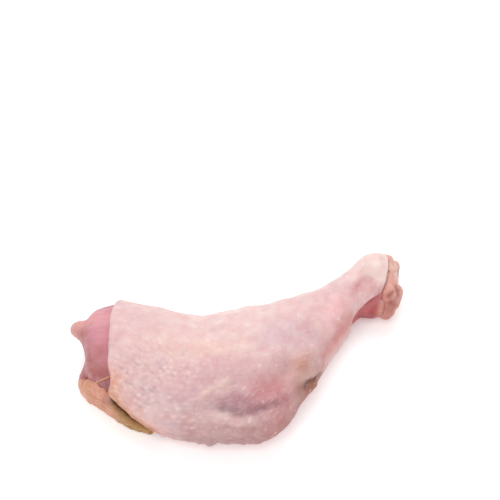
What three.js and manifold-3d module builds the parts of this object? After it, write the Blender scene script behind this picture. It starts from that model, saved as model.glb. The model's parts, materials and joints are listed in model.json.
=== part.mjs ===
// A raw whole chicken leg, thigh and drumstick in one piece, lying on its bare inner side with the skin up.
// Millimetres, +Z up. X runs from the cut hip on the left to the hock on the right, and the knee points to -Y.
// Four pieces make it, as they make the real leg: the meat, the skin sleeve drawn over it, the drumstick
// bone that comes out at the hock, and the flap of trimmed skin and fat under the cut end of the thigh.
import * as THREE from "three";
import { mergeVertices } from "three/addons/utils/BufferGeometryUtils.js";
import Module from "manifold-3d";

const wasm = await Module();
wasm.setup();

// Driving dimensions: cross-sections of the leg, from the end of the hip muscle to the skin's rim at the hock.
// x and y place the middle of a section, turn swings it about the vertical, in degrees, and lift is how far
// its underside is above the board. A lift below zero is pressed flat by the board.
const STATIONS = [
  { name: "tip", x: -94, y: 7, turn: 6, width: 19, height: 12, lift: 9 },
  { name: "hip", x: -88.5, y: 3, turn: 2, width: 48, height: 25, lift: 3 },
  { name: "cut", x: -74, y: 0.5, turn: 0, width: 74, height: 34, lift: 0 },
  { name: "thigh", x: -52, y: -11, turn: 0, width: 88, height: 38, lift: -1.5 },
  { name: "belly", x: -25, y: -18.2, turn: 2, width: 89.5, height: 39, lift: -1.5 },
  { name: "lap", x: 0, y: -16.3, turn: 8, width: 94, height: 39, lift: -1.5 },
  { name: "knee", x: 20, y: -9.2, turn: 14, width: 87, height: 38, lift: -1 },
  { name: "calf", x: 39, y: 9, turn: 24, width: 55, height: 37, lift: 0 },
  { name: "shin", x: 57, y: 27, turn: 30, width: 38, height: 32, lift: 1 },
  { name: "shank", x: 71, y: 42, turn: 24, width: 31, height: 27, lift: 2 },
  { name: "hock", x: 83, y: 51, turn: 10, width: 39, height: 31, lift: 1.5 },
  { name: "rim", x: 92.5, y: 53, turn: -2, width: 42, height: 33, lift: 1.5 },
];
const WIDEST_LEVEL = 0.4; // how far up a section is widest, as a share of its height
const TOP_ROUNDNESS = 1.95; // exponent of the section's upper half, 2 is an ellipse
const UNDERSIDE_ROUNDNESS = 2.5;

const SKIN_THICKNESS = 1.8;
const SKIN_TO_MEAT_GAP = 0.5;
const SKIN_ABOVE_BOARD = 0.9;
const BARE_MEAT_PROUD = 0.8; // how far bare meat swells past the level of the skin's outside
const BARE_MEAT_SWELLS_FROM = 0.15; // stations from the skin's edge where the swell begins
const BARE_MEAT_SWELLS_TO = 0.7; // and where it is full

// The skin's edges, in station numbers along the leg.
const HIP_EDGE = 1.84;
const HIP_EDGE_UNDERNEATH = 6.6; // the butcher's cut runs back under the thigh, past the knee
const HIP_EDGE_REACH = 116; // degrees from straight down where that cut begins to run back
const HIP_EDGE_FULLNESS = 0.95; // below 1 the cut runs back sooner
const HOCK_EDGE = 10.95;
const HOCK_EDGE_DRAWN_BACK = 1.85; // the skin has drawn back from the tendons on the knee side
const HOCK_EDGE_CENTRE = -20; // degrees round the shank
const HOCK_EDGE_SPREAD = 40;
const MEAT_END = 11;

// Swells and hollows of the upper side: place, length, breadth and turn in plan, and rise.
const MUSCLE_SWELLS = [
  { name: "knee hollow", x: 12, y: -38, length: 30, breadth: 8, turn: 6, rise: -4 },
  { name: "hollow's outer end", x: 34, y: -25, length: 14, breadth: 7, turn: 38, rise: -2.5 },
  { name: "thigh muscle's edge", x: -12, y: -32, length: 20, breadth: 6, turn: 30, rise: 1.6 },
  { name: "kneecap", x: 18, y: -22, length: 12, breadth: 8, turn: 30, rise: 1.8 },
  { name: "calf", x: 32, y: 22, length: 20, breadth: 12, turn: 40, rise: 1.8 },
  { name: "back of the knee", x: -18, y: 12, length: 16, breadth: 18, turn: 20, rise: -1.8 },
  { name: "shank hollow", x: 80, y: 45, length: 8, breadth: 6, turn: 20, rise: -2 },
];
const LOOSE_SKIN_SWELLS = [
  { name: "roll below the knee hollow", x: 8, y: -55, length: 30, breadth: 7, turn: 8, rise: 2.4 },
  { name: "fold beside the knee", x: 44, y: -16, length: 10, breadth: 6, turn: 55, rise: 4.5 },
  { name: "heel tendon", x: 80, y: 60, length: 14, breadth: 4, turn: 25, rise: 1.2 },
];
const SWELLS_FADE_FROM = -27; // degrees round a section: swells fade out below the leg's widest line
const SWELLS_FADE_TO = 6;

// Waves of the flesh under the skin.
const WAVE_HEIGHT = 0.55;
const WAVE_LENGTH = 19;
const WAVE_BEND = 1.3; // how far the crests wander, in radians of a wave
const WAVE_BEND_LENGTH = 32;

// Ruffles where the loose skin meets the board on the knee side.
const RUFFLE_DEPTH = 1.2;
const RUFFLE_LENGTH = 15;
const RUFFLE_FROM = -42;
const RUFFLE_TO = 22;
const RUFFLE_ANGLE = -14; // degrees round the section
const RUFFLE_SPREAD = 24;

// The stump of the hip muscle, a knob that stands out of the cut end.
const KNOB_PLACE = new THREE.Vector3(-94.5, 14.5, 17);
const KNOB_RADII = new THREE.Vector3(8.5, 6.2, 6.8);

// The drumstick bone: a shaft along the middle of the drumstick that ends in a two-lobed knuckle.
const SHAFT_RADIUS = 5;
const KNUCKLE_WIDTH = 36;
const KNUCKLE_HEIGHT = 27;
const KNUCKLE_WAIST = 0.2; // depth of the groove round it between the lobes, as a share of its size
const KNUCKLE_GROOVE = 3; // depth of the same groove across the end face
const KNUCKLE_PROUD = 11; // how far the knuckle stands out of the skin's rim
const KNUCKLE_LEVEL = 16.8; // height of the knuckle's middle
const KNUCKLE_ASIDE = -2.4; // how far it sits towards the knee side
const KNUCKLE_TURN = -8; // degrees, so that the lobe on the knee side stands out more
const BONE_CLEARANCE = 0.4;
// Station along the leg, how far out past the rim, and size from 0, the shaft, to 1, the knuckle.
const BONE_PROFILE = [
  { t: 7.4, past: 0, size: 0 },
  { t: 8.2, past: 0, size: 0 },
  { t: 9.1, past: 0, size: 0.02 },
  { t: 9.8, past: 0, size: 0.1 },
  { t: 10.4, past: 0, size: 0.32 },
  { t: 10.8, past: 0, size: 0.6 },
  { t: 11, past: 0, size: 0.84 },
  { t: 11, past: 0.2, size: 1.03 },
  { t: 11, past: 0.45, size: 1.1 },
  { t: 11, past: 0.7, size: 1.03 },
  { t: 11, past: 0.88, size: 0.82 },
  { t: 11, past: 0.97, size: 0.5 },
];

// The flap of trimmed skin and fat that lies on the board under the cut end, along a bent spine.
const FLAP_SPINE = [
  { x: -49, y: -49, width: 5, height: 3 },
  { x: -62, y: -42, width: 11, height: 4.5 },
  { x: -75.5, y: -31.5, width: 16, height: 6.5 },
  { x: -86, y: -19, width: 18, height: 9 },
  { x: -92, y: -7, width: 10, height: 8 },
];
const FLAP_ROUNDNESS = 0.8; // exponent of its rounded top, 1 is an ellipse
const LOBULE_HEIGHT = 1.3; // lumps of fat
const LOBULE_LENGTH = 9;
const FLAP_CLEARANCE = 0.5;

// Fineness of the faceted surfaces.
const COLUMNS = 48;
const HIP_ROWS = 9;
const SKIN_ROWS = 36;
const HOCK_ROWS = 3;
const TIP_CROWDING = 1.25; // above 1 the rows crowd towards the tip of the hip
const BONE_COLUMNS = 20;
const KNOB_COLUMNS = 14;
const FLAP_COLUMNS = 16;
const FLAP_ROWS = 18;
const NORMAL_STEP = 0.02; // stations either side of a point, for its normal
const NORMAL_TURN = 1; // degrees either side of it
const MERGE_DISTANCE = 0.001;

const radians = THREE.MathUtils.degToRad;
const smoothstep = THREE.MathUtils.smoothstep;
const lerp = THREE.MathUtils.lerp;
const fullTurn = 2 * Math.PI;

// Catmull-Rom curve through evenly numbered values, with straight run-outs at both ends.
function through(values, t) {
  const last = values.length - 1;
  const i = Math.min(Math.max(Math.floor(t), 0), last - 1);
  const at = (k) => {
    if (k < 0) return 2 * values[0] - values[1];
    if (k > last) return 2 * values[last] - values[last - 1];
    return values[k];
  };
  const [a, b, c, d] = [at(i - 1), at(i), at(i + 1), at(i + 2)];
  const f = t - i;
  const bend = (2 * a - 5 * b + 4 * c - d) * f + (3 * b - a - 3 * c + d) * f * f;
  return b + 0.5 * (c - a + bend) * f;
}

// A table of named columns, read anywhere between its rows.
function readerOf(table) {
  const columns = {};
  for (const key of Object.keys(table[0])) columns[key] = table.map((row) => row[key]);
  return (key, t) => through(columns[key], t);
}

const station = readerOf(STATIONS);
const spine = readerOf(FLAP_SPINE);

// Smallest turn between two angles in degrees, 0 to 180.
const apart = (a, b) => Math.abs(((a - b + 540) % 360) - 180);

// The leg's own shape, before skin and meat are told apart. Angle 0 faces the knee side, 90 is up.
function sectionPoint(t, angle) {
  const turn = radians(station("turn", t));
  const height = station("height", t);
  const out = Math.cos(radians(angle));
  const up = Math.sin(radians(angle));
  const below = height * WIDEST_LEVEL;
  const reach = up > 0 ? height - below : below;
  const power = up > 0 ? TOP_ROUNDNESS : UNDERSIDE_ROUNDNESS;
  const side = Math.abs(out) / (station("width", t) / 2);
  const radius = (side ** power + (Math.abs(up) / reach) ** power) ** (-1 / power);
  return new THREE.Vector3(
    station("x", t) + radius * out * Math.sin(turn),
    station("y", t) - radius * out * Math.cos(turn),
    station("lift", t) + below + radius * up,
  );
}

// 1 on the upper side of the leg and 0 underneath, where the board presses it plain.
function upperSide(angle) {
  const up = Math.sin(radians(angle));
  return smoothstep(up, Math.sin(radians(SWELLS_FADE_FROM)), Math.sin(radians(SWELLS_FADE_TO)));
}

// Sum of swells at a point of the upper side, each fading out over its length and breadth.
function swellAt(swells, point, angle) {
  let rise = 0;
  for (const swell of swells) {
    const turn = radians(swell.turn);
    const dx = point.x - swell.x;
    const dy = point.y - swell.y;
    const along = (dx * Math.cos(turn) + dy * Math.sin(turn)) / swell.length;
    const across = (dy * Math.cos(turn) - dx * Math.sin(turn)) / swell.breadth;
    rise += swell.rise * Math.exp(-along * along - across * across);
  }
  return rise * upperSide(angle);
}

// Waves of the flesh, so that no stretch of the leg is a plain curve.
function waveAt(point, angle) {
  const bend = WAVE_BEND * Math.sin((fullTurn * point.y) / WAVE_BEND_LENGTH);
  return WAVE_HEIGHT * upperSide(angle) * Math.sin((fullTurn * point.x) / WAVE_LENGTH + bend);
}

// Scallops of loose skin, which only ever stand out from the flesh.
function ruffleAt(point, angle) {
  const begins = smoothstep(point.x, RUFFLE_FROM, RUFFLE_FROM + RUFFLE_LENGTH);
  const ends = 1 - smoothstep(point.x, RUFFLE_TO, RUFFLE_TO + RUFFLE_LENGTH);
  const atBoard = Math.exp(-((apart(angle, RUFFLE_ANGLE) / RUFFLE_SPREAD) ** 2));
  const scallop = (1 + Math.sin((fullTurn * point.x) / RUFFLE_LENGTH)) / 2;
  return RUFFLE_DEPTH * begins * ends * atBoard * scallop;
}

// Where the skin begins at the hip and ends at the hock, as station numbers, round the leg.
function hipEdge(angle) {
  const fromBelow = Math.min(apart(angle, -90) / HIP_EDGE_REACH, 1);
  const underneath = (1 + Math.cos(Math.PI * fromBelow)) / 2;
  return lerp(HIP_EDGE, HIP_EDGE_UNDERNEATH, underneath ** HIP_EDGE_FULLNESS);
}

function hockEdge(angle) {
  const away = apart(angle, HOCK_EDGE_CENTRE) / HOCK_EDGE_SPREAD;
  return HOCK_EDGE - HOCK_EDGE_DRAWN_BACK * Math.exp(-away * away);
}

// A surface that stands off another along its normals, each a function of station and angle.
function standingOff(surface, distanceAt) {
  return (t, angle) => {
    const along = surface(t + NORMAL_STEP, angle).sub(surface(t - NORMAL_STEP, angle));
    const round = surface(t, angle + NORMAL_TURN).sub(surface(t, angle - NORMAL_TURN));
    const point = surface(t, angle);
    return point.addScaledVector(along.cross(round).normalize(), distanceAt(point, angle));
  };
}

const fleshPoint = standingOff(
  sectionPoint,
  (point, angle) => swellAt(MUSCLE_SWELLS, point, angle) + waveAt(point, angle),
);
const skinOutside = standingOff(
  fleshPoint,
  (point, angle) => swellAt(LOOSE_SKIN_SWELLS, point, angle) + ruffleAt(point, angle),
);
const skinInside = standingOff(skinOutside, () => -SKIN_THICKNESS);
const meatUnderSkin = standingOff(fleshPoint, () => -SKIN_THICKNESS - SKIN_TO_MEAT_GAP);
const bareMeat = standingOff(fleshPoint, () => BARE_MEAT_PROUD);

const columnAngle = (j) => (360 * j) / COLUMNS - 180;

// A ring of points round the leg on a surface that nowhere reaches below a level above the board.
function ringOn(surface, stationAt, lowest) {
  return Array.from({ length: COLUMNS }, (_, j) => {
    const angle = columnAngle(j);
    const point = surface(stationAt(angle), angle);
    return point.setZ(Math.max(point.z, lowest));
  });
}

// Rows of the leg's three stretches: bare hip, skin and bare hock. Each row is a station for every angle.
const hipRow = (share) => (angle) => hipEdge(angle) * share ** TIP_CROWDING;
const skinRow = (share) => (angle) => lerp(hipEdge(angle), hockEdge(angle), share);
const hockRow = (share) => (angle) => lerp(hockEdge(angle), MEAT_END, share);
const hipRows = Array.from({ length: HIP_ROWS }, (_, i) => hipRow(i / HIP_ROWS));
const skinRows = Array.from({ length: SKIN_ROWS + 1 }, (_, i) => skinRow(i / SKIN_ROWS));
const hockRows = Array.from({ length: HOCK_ROWS }, (_, i) => hockRow((i + 1) / HOCK_ROWS));

// Triangles between rings of equal length, each four-sided patch split along its shorter diagonal.
function trianglesBetween(rings) {
  const count = rings[0].length;
  const triangles = [];
  for (let i = 0; i + 1 < rings.length; i++) {
    for (let j = 0; j < count; j++) {
      const k = (j + 1) % count;
      const [a, b, c, d] = [i * count + j, i * count + k, (i + 1) * count + j, (i + 1) * count + k];
      const fromFirst = rings[i][j].distanceTo(rings[i + 1][k]);
      const fromNext = rings[i][k].distanceTo(rings[i + 1][j]);
      triangles.push(...(fromFirst < fromNext ? [a, d, b, a, c, d] : [a, c, b, b, c, d]));
    }
  }
  return triangles;
}

function geometryFrom(points, triangles) {
  const geometry = new THREE.BufferGeometry();
  geometry.setFromPoints(points);
  geometry.setIndex(triangles);
  return geometry;
}

// A closed surface over rings, with a fan over each end. The guide rings say how the patches are split.
function cappedSurface(rings, guide = rings) {
  const count = rings[0].length;
  const points = rings.flat();
  const triangles = trianglesBetween(guide);
  const fan = (ring, start, reversed) => {
    const centre = points.length;
    points.push(ring.reduce((sum, point) => sum.add(point), new THREE.Vector3()).divideScalar(count));
    for (let j = 0; j < count; j++) {
      const k = (j + 1) % count;
      triangles.push(...(reversed ? [centre, start + j, start + k] : [centre, start + k, start + j]));
    }
  };
  fan(rings[0], 0, true);
  fan(rings[rings.length - 1], (rings.length - 1) * count, false);
  return geometryFrom(points, triangles);
}

// A closed sleeve with an outer and an inner face, split alike and joined round both of its ends.
function sleeveSurface(outer, inner, guide) {
  const count = outer[0].length;
  const inside = outer.length * count;
  const face = trianglesBetween(guide);
  const triangles = [...face];
  for (let i = 0; i < face.length; i += 3) {
    triangles.push(inside + face[i], inside + face[i + 2], inside + face[i + 1]);
  }
  const last = (outer.length - 1) * count;
  for (let j = 0; j < count; j++) {
    const k = (j + 1) % count;
    triangles.push(j, k, inside + j, k, inside + k, inside + j);
    triangles.push(last + j, inside + last + j, last + k, last + k, inside + last + j, inside + last + k);
  }
  return geometryFrom([...outer.flat(), ...inner.flat()], triangles);
}

// Geometry to a solid that can be cut, and back.
function solidOf(geometry) {
  const bare = geometry.clone();
  bare.deleteAttribute("normal");
  bare.deleteAttribute("uv");
  const merged = mergeVertices(bare, MERGE_DISTANCE);
  return new wasm.Manifold(
    new wasm.Mesh({
      numProp: 3,
      vertProperties: new Float32Array(merged.attributes.position.array),
      triVerts: new Uint32Array(merged.index.array),
    }),
  );
}

function geometryOf(solid) {
  const mesh = solid.getMesh();
  const geometry = new THREE.BufferGeometry();
  geometry.setAttribute("position", new THREE.BufferAttribute(mesh.vertProperties, 3));
  geometry.setIndex(new THREE.BufferAttribute(mesh.triVerts, 1));
  geometry.computeVertexNormals();
  return geometry;
}

// The skin: a sleeve of even thickness that nowhere touches the board.
function skinGeometry() {
  return sleeveSurface(
    skinRows.map((row) => ringOn(skinOutside, row, SKIN_ABOVE_BOARD)),
    skinRows.map((row) => ringOn(skinInside, row, SKIN_ABOVE_BOARD + SKIN_THICKNESS)),
    skinRows.map((row) => ringOn(fleshPoint, row, 0)),
  );
}

// The meat: it fills the sleeve and swells a little where it is bare, and the board presses it flat.
function meatGeometry() {
  const underSkin = SKIN_ABOVE_BOARD + SKIN_THICKNESS + SKIN_TO_MEAT_GAP;
  const rows = [...hipRows, ...skinRows, ...hockRows];
  const swellsAt = (t, angle) => {
    const fromEdge = Math.max(hipEdge(angle) - t, t - hockEdge(angle));
    return smoothstep(fromEdge, BARE_MEAT_SWELLS_FROM, BARE_MEAT_SWELLS_TO);
  };
  const rings = rows.map((row) => {
    const bare = ringOn(bareMeat, row, 0);
    return ringOn(meatUnderSkin, row, underSkin).map((point, j) => {
      const angle = columnAngle(j);
      return point.lerp(bare[j], swellsAt(row(angle), angle));
    });
  });
  return cappedSurface(rings, rows.map((row) => ringOn(fleshPoint, row, 0)));
}

function knobGeometry() {
  const knob = new THREE.SphereGeometry(1, KNOB_COLUMNS, KNOB_COLUMNS / 2);
  return knob.scale(...KNOB_RADII).translate(...KNOB_PLACE);
}

// The bone, grown by a clearance for cutting its bore. Its sections go from the shaft to the knuckle.
function boneGeometry(grow) {
  const rings = BONE_PROFILE.map(({ t, past, size }, i) => {
    const knuckle = Math.min(size, 1);
    const shaftLevel = station("lift", t) + station("height", t) / 2;
    const beyond = i === 0 ? -grow : past * (KNUCKLE_PROUD + grow);
    const turn = radians(station("turn", t) + KNUCKLE_TURN * knuckle);
    const half = lerp(SHAFT_RADIUS, KNUCKLE_WIDTH / 2, size) + grow;
    const rise = lerp(SHAFT_RADIUS, KNUCKLE_HEIGHT / 2, size) + grow;
    return Array.from({ length: BONE_COLUMNS }, (_, j) => {
      const angle = (fullTurn * j) / BONE_COLUMNS;
      const out = half * Math.cos(angle);
      const waist = 1 - KNUCKLE_WAIST * knuckle * Math.sin(angle) ** 4;
      const groove = KNUCKLE_GROOVE * past * Math.sin(angle) ** 2;
      return new THREE.Vector3(
        station("x", t) + beyond - groove + out * Math.sin(turn),
        station("y", t) + KNUCKLE_ASIDE * knuckle - out * Math.cos(turn),
        lerp(shaftLevel, KNUCKLE_LEVEL, knuckle) + rise * waist * Math.sin(angle),
      );
    });
  });
  return cappedSurface(rings);
}

// The flap, grown by a clearance for the hollow that it presses into the meat.
function flapGeometry(grow) {
  const rings = Array.from({ length: FLAP_ROWS + 1 }, (_, i) => {
    const t = ((FLAP_SPINE.length - 1) * i) / FLAP_ROWS;
    const dx = spine("x", t + NORMAL_STEP) - spine("x", t - NORMAL_STEP);
    const dy = spine("y", t + NORMAL_STEP) - spine("y", t - NORMAL_STEP);
    const heading = Math.atan2(dy, dx);
    const pastEnd = i === 0 ? -grow : grow * Number(i === FLAP_ROWS);
    return Array.from({ length: FLAP_COLUMNS }, (_, j) => {
      const angle = (fullTurn * j) / FLAP_COLUMNS;
      const up = Math.max(Math.sin(angle), 0);
      const out = (spine("width", t) / 2 + grow) * Math.cos(angle);
      const x = spine("x", t) + pastEnd * Math.cos(heading) + out * Math.sin(heading);
      const y = spine("y", t) + pastEnd * Math.sin(heading) - out * Math.cos(heading);
      const wave = fullTurn / LOBULE_LENGTH;
      const lumps = LOBULE_HEIGHT * Math.sin(wave * x) * Math.cos(wave * y);
      const top = (spine("height", t) + lumps) * up ** FLAP_ROUNDNESS + grow;
      return new THREE.Vector3(x, y, up > 0 ? top : 0);
    });
  });
  return cappedSurface(rings);
}

const meat = geometryOf(
  solidOf(meatGeometry())
    .add(solidOf(knobGeometry()))
    .subtract(solidOf(boneGeometry(BONE_CLEARANCE)))
    .subtract(solidOf(flapGeometry(FLAP_CLEARANCE))),
);

const PIECES = [
  { name: "meat", geometry: meat, color: 0xcf8f95, roughness: 0.45 },
  { name: "skin", geometry: skinGeometry(), color: 0xecccca, roughness: 0.4 },
  { name: "drumstick_bone", geometry: boneGeometry(0), color: 0xd9a794, roughness: 0.35 },
  { name: "fat_flap", geometry: flapGeometry(0), color: 0xe0b294, roughness: 0.4 },
];

const leg = new THREE.Group();
for (const { name, geometry, color, roughness } of PIECES) {
  const mesh = new THREE.Mesh(geometry, new THREE.MeshStandardMaterial({ color, roughness, metalness: 0 }));
  mesh.name = name;
  leg.add(mesh);
}

// The origin is the middle of the leg's box, on the board.
const box = new THREE.Box3().setFromObject(leg, true);
const middle = box.getCenter(new THREE.Vector3());
leg.position.set(-middle.x, -middle.y, -box.min.z);

const part = new THREE.Group();
part.add(leg);

export default part;
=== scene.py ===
"""A raw whole chicken leg: skin, bare meat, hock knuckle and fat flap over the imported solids."""

import json
import math
from collections import namedtuple
from itertools import product

import bmesh
import bpy
import numpy as np
from bpy.props import FloatProperty, FloatVectorProperty, PointerProperty
from bpy.types import NodeSocket, Operator, Panel, PropertyGroup
from mathutils import Matrix, Vector
from mathutils.bvhtree import BVHTree

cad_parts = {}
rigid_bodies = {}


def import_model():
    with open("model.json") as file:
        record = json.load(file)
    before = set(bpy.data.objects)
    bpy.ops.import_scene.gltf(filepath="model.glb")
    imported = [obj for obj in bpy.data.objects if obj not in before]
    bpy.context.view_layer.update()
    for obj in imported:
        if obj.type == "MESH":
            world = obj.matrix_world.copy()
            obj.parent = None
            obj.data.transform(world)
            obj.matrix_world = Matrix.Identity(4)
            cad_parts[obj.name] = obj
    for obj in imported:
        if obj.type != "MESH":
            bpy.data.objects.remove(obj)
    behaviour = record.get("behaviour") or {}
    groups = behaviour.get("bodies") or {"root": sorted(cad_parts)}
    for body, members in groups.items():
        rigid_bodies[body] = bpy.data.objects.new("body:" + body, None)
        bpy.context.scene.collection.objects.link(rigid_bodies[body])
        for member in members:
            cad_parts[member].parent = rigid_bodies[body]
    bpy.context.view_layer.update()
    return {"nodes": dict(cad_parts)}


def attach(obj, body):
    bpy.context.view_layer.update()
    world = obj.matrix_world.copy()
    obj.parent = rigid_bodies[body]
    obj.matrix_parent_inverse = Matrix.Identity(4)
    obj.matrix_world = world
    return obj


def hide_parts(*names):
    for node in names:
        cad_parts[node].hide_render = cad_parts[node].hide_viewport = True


bl_info = {
    "name": "Raw chicken leg",
    "version": (1, 0, 0),
    "blender": (4, 5, 0),
    "location": "View3D > Sidebar > Chicken leg",
    "description": "Skin, meat, knuckle and fat of a raw whole chicken leg, with its studio",
    "category": "Add Mesh",
}

for leftover in list(bpy.data.objects):
    bpy.data.objects.remove(leftover)
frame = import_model()

BODY = "root"
MM = 0.001

# The photograph's frame and where the camera stands in it.
IMAGE_PX = 500
FOCAL_PX = 1260
SENSOR = 36
CAMERA_PITCH = 48
CAMERA_DISTANCE = 0.770
AIM_POINT = Vector((-0.000862, -0.004181, 0.014))
AIM_PX = (237, 352)

# The leg's middle line from the tip of the hip to the rim of the hock: x and y in millimetres, and the turn
# of the section there in degrees.
SPINE = np.array(
    [
        (-94.9, 2.8, 6), (-89.4, -1.2, 2), (-74.9, -3.7, 0), (-52.9, -15.2, 0), (-25.9, -22.4, 2),
        (-0.9, -20.5, 8), (19.1, -13.4, 14), (38.1, 4.8, 24), (56.1, 22.8, 30), (70.1, 37.8, 24),
        (82.1, 46.8, 10), (91.6, 48.8, -2),
    ]
)
SPINE_LEVEL = 14.0
SPINE_SAMPLES = 600
POINTS_AT_ONCE = 8000

# The skin is a grid of rows along the leg and columns round it, seen from the middle line.
SKIN_ROWS = 288
SKIN_COLUMNS = 296
SKIN_INNER_EVERY = 16
SKIN_ROLL_STEPS = 5
SKIN_FIRST_STATION = 1.2
SKIN_LAST_STATION = 11.3
SKIN_SEARCH_STEP = 0.1
SKIN_SEARCH_HALVINGS = 7
SKIN_WALL = 9 * MM
SKIN_STEP_PAST = 0.02 * MM
RAY_REACH = 90 * MM
SECTION_HALF_WIDTH = 45.0
SECTION_HALF_HEIGHT = 19.5
ANGLE_SAMPLES = 2881
TOP_ANGLE = 90
UNDERSIDE_ANGLES = (-158, -28)
UNDERSIDE_FINENESS = 0.5
FACET_SMOOTHING = 26
EDGE_SMOOTHING = 5

# The skin is drawn back from the tendons on the knee side of the hock.
HOCK_BARE_STATION = 8.65
HOCK_RIM_STATION = 11.15
HOCK_BARE_ANGLE = -20
HOCK_BARE_SPREADS = (100, 52)
HOCK_BARE_SQUARENESS = 8
HOCK_HEM_DIP = 1.9
HOCK_HEM_BREADTH = 5.5
HEM_WANDER = 0.05
HEM_WANDER_LENGTH = 14
HEM_PULL = (-3.4, 1.6, -2.8)
HOCK_PULL = (2.3, 0.8, 1.7)
HIP_HEM_RISE = 0.5
HIP_HEM_PLACE = 1.4
HIP_HEM_BREADTH = 1.2
HIP_HEM_LUMP = 6

# Relief of the skin in millimetres, and shares of it. Lumps are a height, a size and a number of layers.
SKIN_LUMPS = [(0.42, 24, 1), (0.22, 9, 2)]
DEEPEST_CREASE = -1.55
PATH_TAPER = 0.3
LIP_PLACE = 2
STRAY_SHIFTS = (0, 37, 74)
FOLD_WANDER = 0.45
FOLD_WANDER_LENGTH = 5
RUFFLE_HEIGHT = 1.1
RUFFLE_LENGTH = 6.5
RUFFLE_BREADTH = 7
RUFFLE_STRETCH = (1, 1, 0.3)
PIMPLED_ALL_OVER = 0.25
PIMPLED_ON_THIGH = 0.95
PIMPLE_RADIUS = 1.05
PIMPLE_CLUSTER = 13
PIMPLE_CLUSTER_EDGE = (-0.4, 0.3)
SPARSE_PIMPLES = 0.4
UNPIMPLED_NOTCH = (2, 6)
FOLLICLE_CELLS = 128
FOLLICLE_SHIFT = 0.3
FOLLICLE_SIZES = (0.45, 1.0)
CREPE_TURN = math.radians(-42)
CREPE_STRETCH = 0.35
CREPE_SPACING = 3.0
CREPE_SHARE = 0.6
CRINKLE_LENGTH = 2.4
CRINKLE_SHARE = 0.5
CREPED_ALL_OVER = 0.2
CREPED_WITH_PIMPLES = 0.8
CREPED_AT_HEM = 0.9

Spot = namedtuple("Spot", "place length breadth turn")
Swell = namedtuple("Swell", "place length breadth turn rise")
Patch = namedtuple("Patch", "place length breadth turn colour strength")
Fold = namedtuple("Fold", "path width rise lip")
Stain = namedtuple("Stain", "path width colour strength")
Mottle = namedtuple("Mottle", "colour strength size layers shift start end")
Retreat = namedtuple("Retreat", "angle spread stations")

# Paths on the leg, in millimetres of the frame.
KNEE_CREASE = [
    (-22, -56.4, 29.4), (-14.4, -57.4, 29.2), (-9, -57.4, 28.5), (-3.2, -58.4, 28.4), (2.3, -59.5, 28.1),
    (6.5, -58.6, 27.6), (11.4, -56.9, 27.2), (16.8, -54.6, 27.4), (22.6, -51.9, 26.9), (29, -48, 24.6),
    (34, -45.4, 21.8),
]
KNEE_WRINKLE = [(18, -46, 29), (23.3, -46.2, 27.9), (28.6, -47.6, 25.8), (34, -44.6, 22.4)]
KNEE_RIDGE = [
    (-27, -54.6, 29.8), (-22.4, -51.4, 31.6), (-17.7, -47.9, 33), (-13.1, -45, 33.4), (-8.8, -42.8, 33.6),
    (-3.1, -38.5, 34.2), (1, -35.6, 34.6),
]
KNEE_NOTCH = [
    (52.5, -20, 9), (50.5, -22.6, 14), (47.9, -25.6, 18.2), (43.4, -29.8, 19), (39.4, -34.6, 21),
    (35, -38.6, 23.6),
]
NOTCH_TAG = [(49, -27, 11), (46.6, -29.6, 13.6), (43.4, -32.8, 15), (39, -37, 16.4)]
HOLLOW_LINE = [(-16, -53.5, 31), (2, -50.5, 31), (14, -48.5, 30), (28, -42.5, 28)]
ROLL_LINE = [(-18, -64, 24), (-4, -65.6, 23.5), (10, -64.6, 21.5), (22, -60, 20)]
HOCK_LINE = [(71, 31, 27), (75.7, 38, 28.4), (80, 41, 29.3), (86, 38.5, 29)]
BACK_FOLDS = [
    [(-36, 20, 22), (-27, 13, 29), (-20, 4, 34)],
    [(-25, 21, 21), (-17, 13, 28), (-11, 5, 33)],
    [(-12, 22, 23), (-5, 15, 29), (0, 7, 34)],
]
BOARD_LINE = [(-48, -58, 10), (-32, -65, 9), (-17, -68, 10), (4, -67, 9), (20, -62, 9), (34, -50, 9)]
# The gap under the hip's hem, where painted shade runs on the meat and the fat.
GAP_LINE = [
    (-79, -36.6, 18), (-75.6, -39.4, 17.2), (-73.2, -41.4, 16.2), (-70.6, -43.6, 15.4),
    (-67.4, -45.6, 13.8), (-64, -47.6, 12), (-60.4, -49.4, 10.6), (-55, -52, 9), (-47, -55, 7),
]
HEM_LINE = [
    (-75.6, -18, 32), (-75.4, -26, 30), (-74.4, -32, 27.4), (-75, -36, 23.4), (-74.6, -39.2, 19.6),
    (-70.6, -44.5, 18.2), (-62.3, -51.6, 16), (-51.4, -58.8, 12.6), (-44, -61, 9), (-36, -62, 5),
]
LOW_HEM = 3
# The lower edge beside the knee, where painted shade runs.
KNEE_EDGE = [
    (58, -1, 22), (52, -13, 21), (47, -23, 18), (44.5, -29, 14), (40.5, -36.4, 14), (35.6, -43, 14),
    (31.8, -50.4, 14.5), (26.6, -58, 15), (20.6, -63.4, 14), (13, -66.6, 13), (2, -68.6, 13),
]
# The skin's lower edge next to the board, where painted shade runs.
BOARD_EDGE = [
    (-50, -60, 13), (-34, -65.5, 13), (-18, -68.5, 14), (0, -68.8, 14), (14, -66.5, 14), (26, -59, 15),
]
SHANK_EDGE = [
    (42, -29, 20), (48, -17, 23), (54, -8, 22), (59, 0.5, 22), (63, 7, 22), (67, 13, 21), (71, 18, 20),
    (75, 22, 18),
]
# The lower edge of the bare meat at the hock, where painted shadow runs.
WEDGE_LINE = [(71, 24, 9.6), (75, 25.6, 9.8), (79, 26.6, 9.8), (84, 27, 9.6), (90, 27.8, 9.4)]
TENDONS = [
    [(90.4, 38.5, 31), (89.6, 33, 25.5), (88.9, 29.6, 20), (88.4, 28, 14), (87.4, 27, 7)],
    [(74, 22.6, 17), (79, 25.6, 18.6), (83.4, 27.6, 20.2), (89, 30, 21.4)],
]
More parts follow.
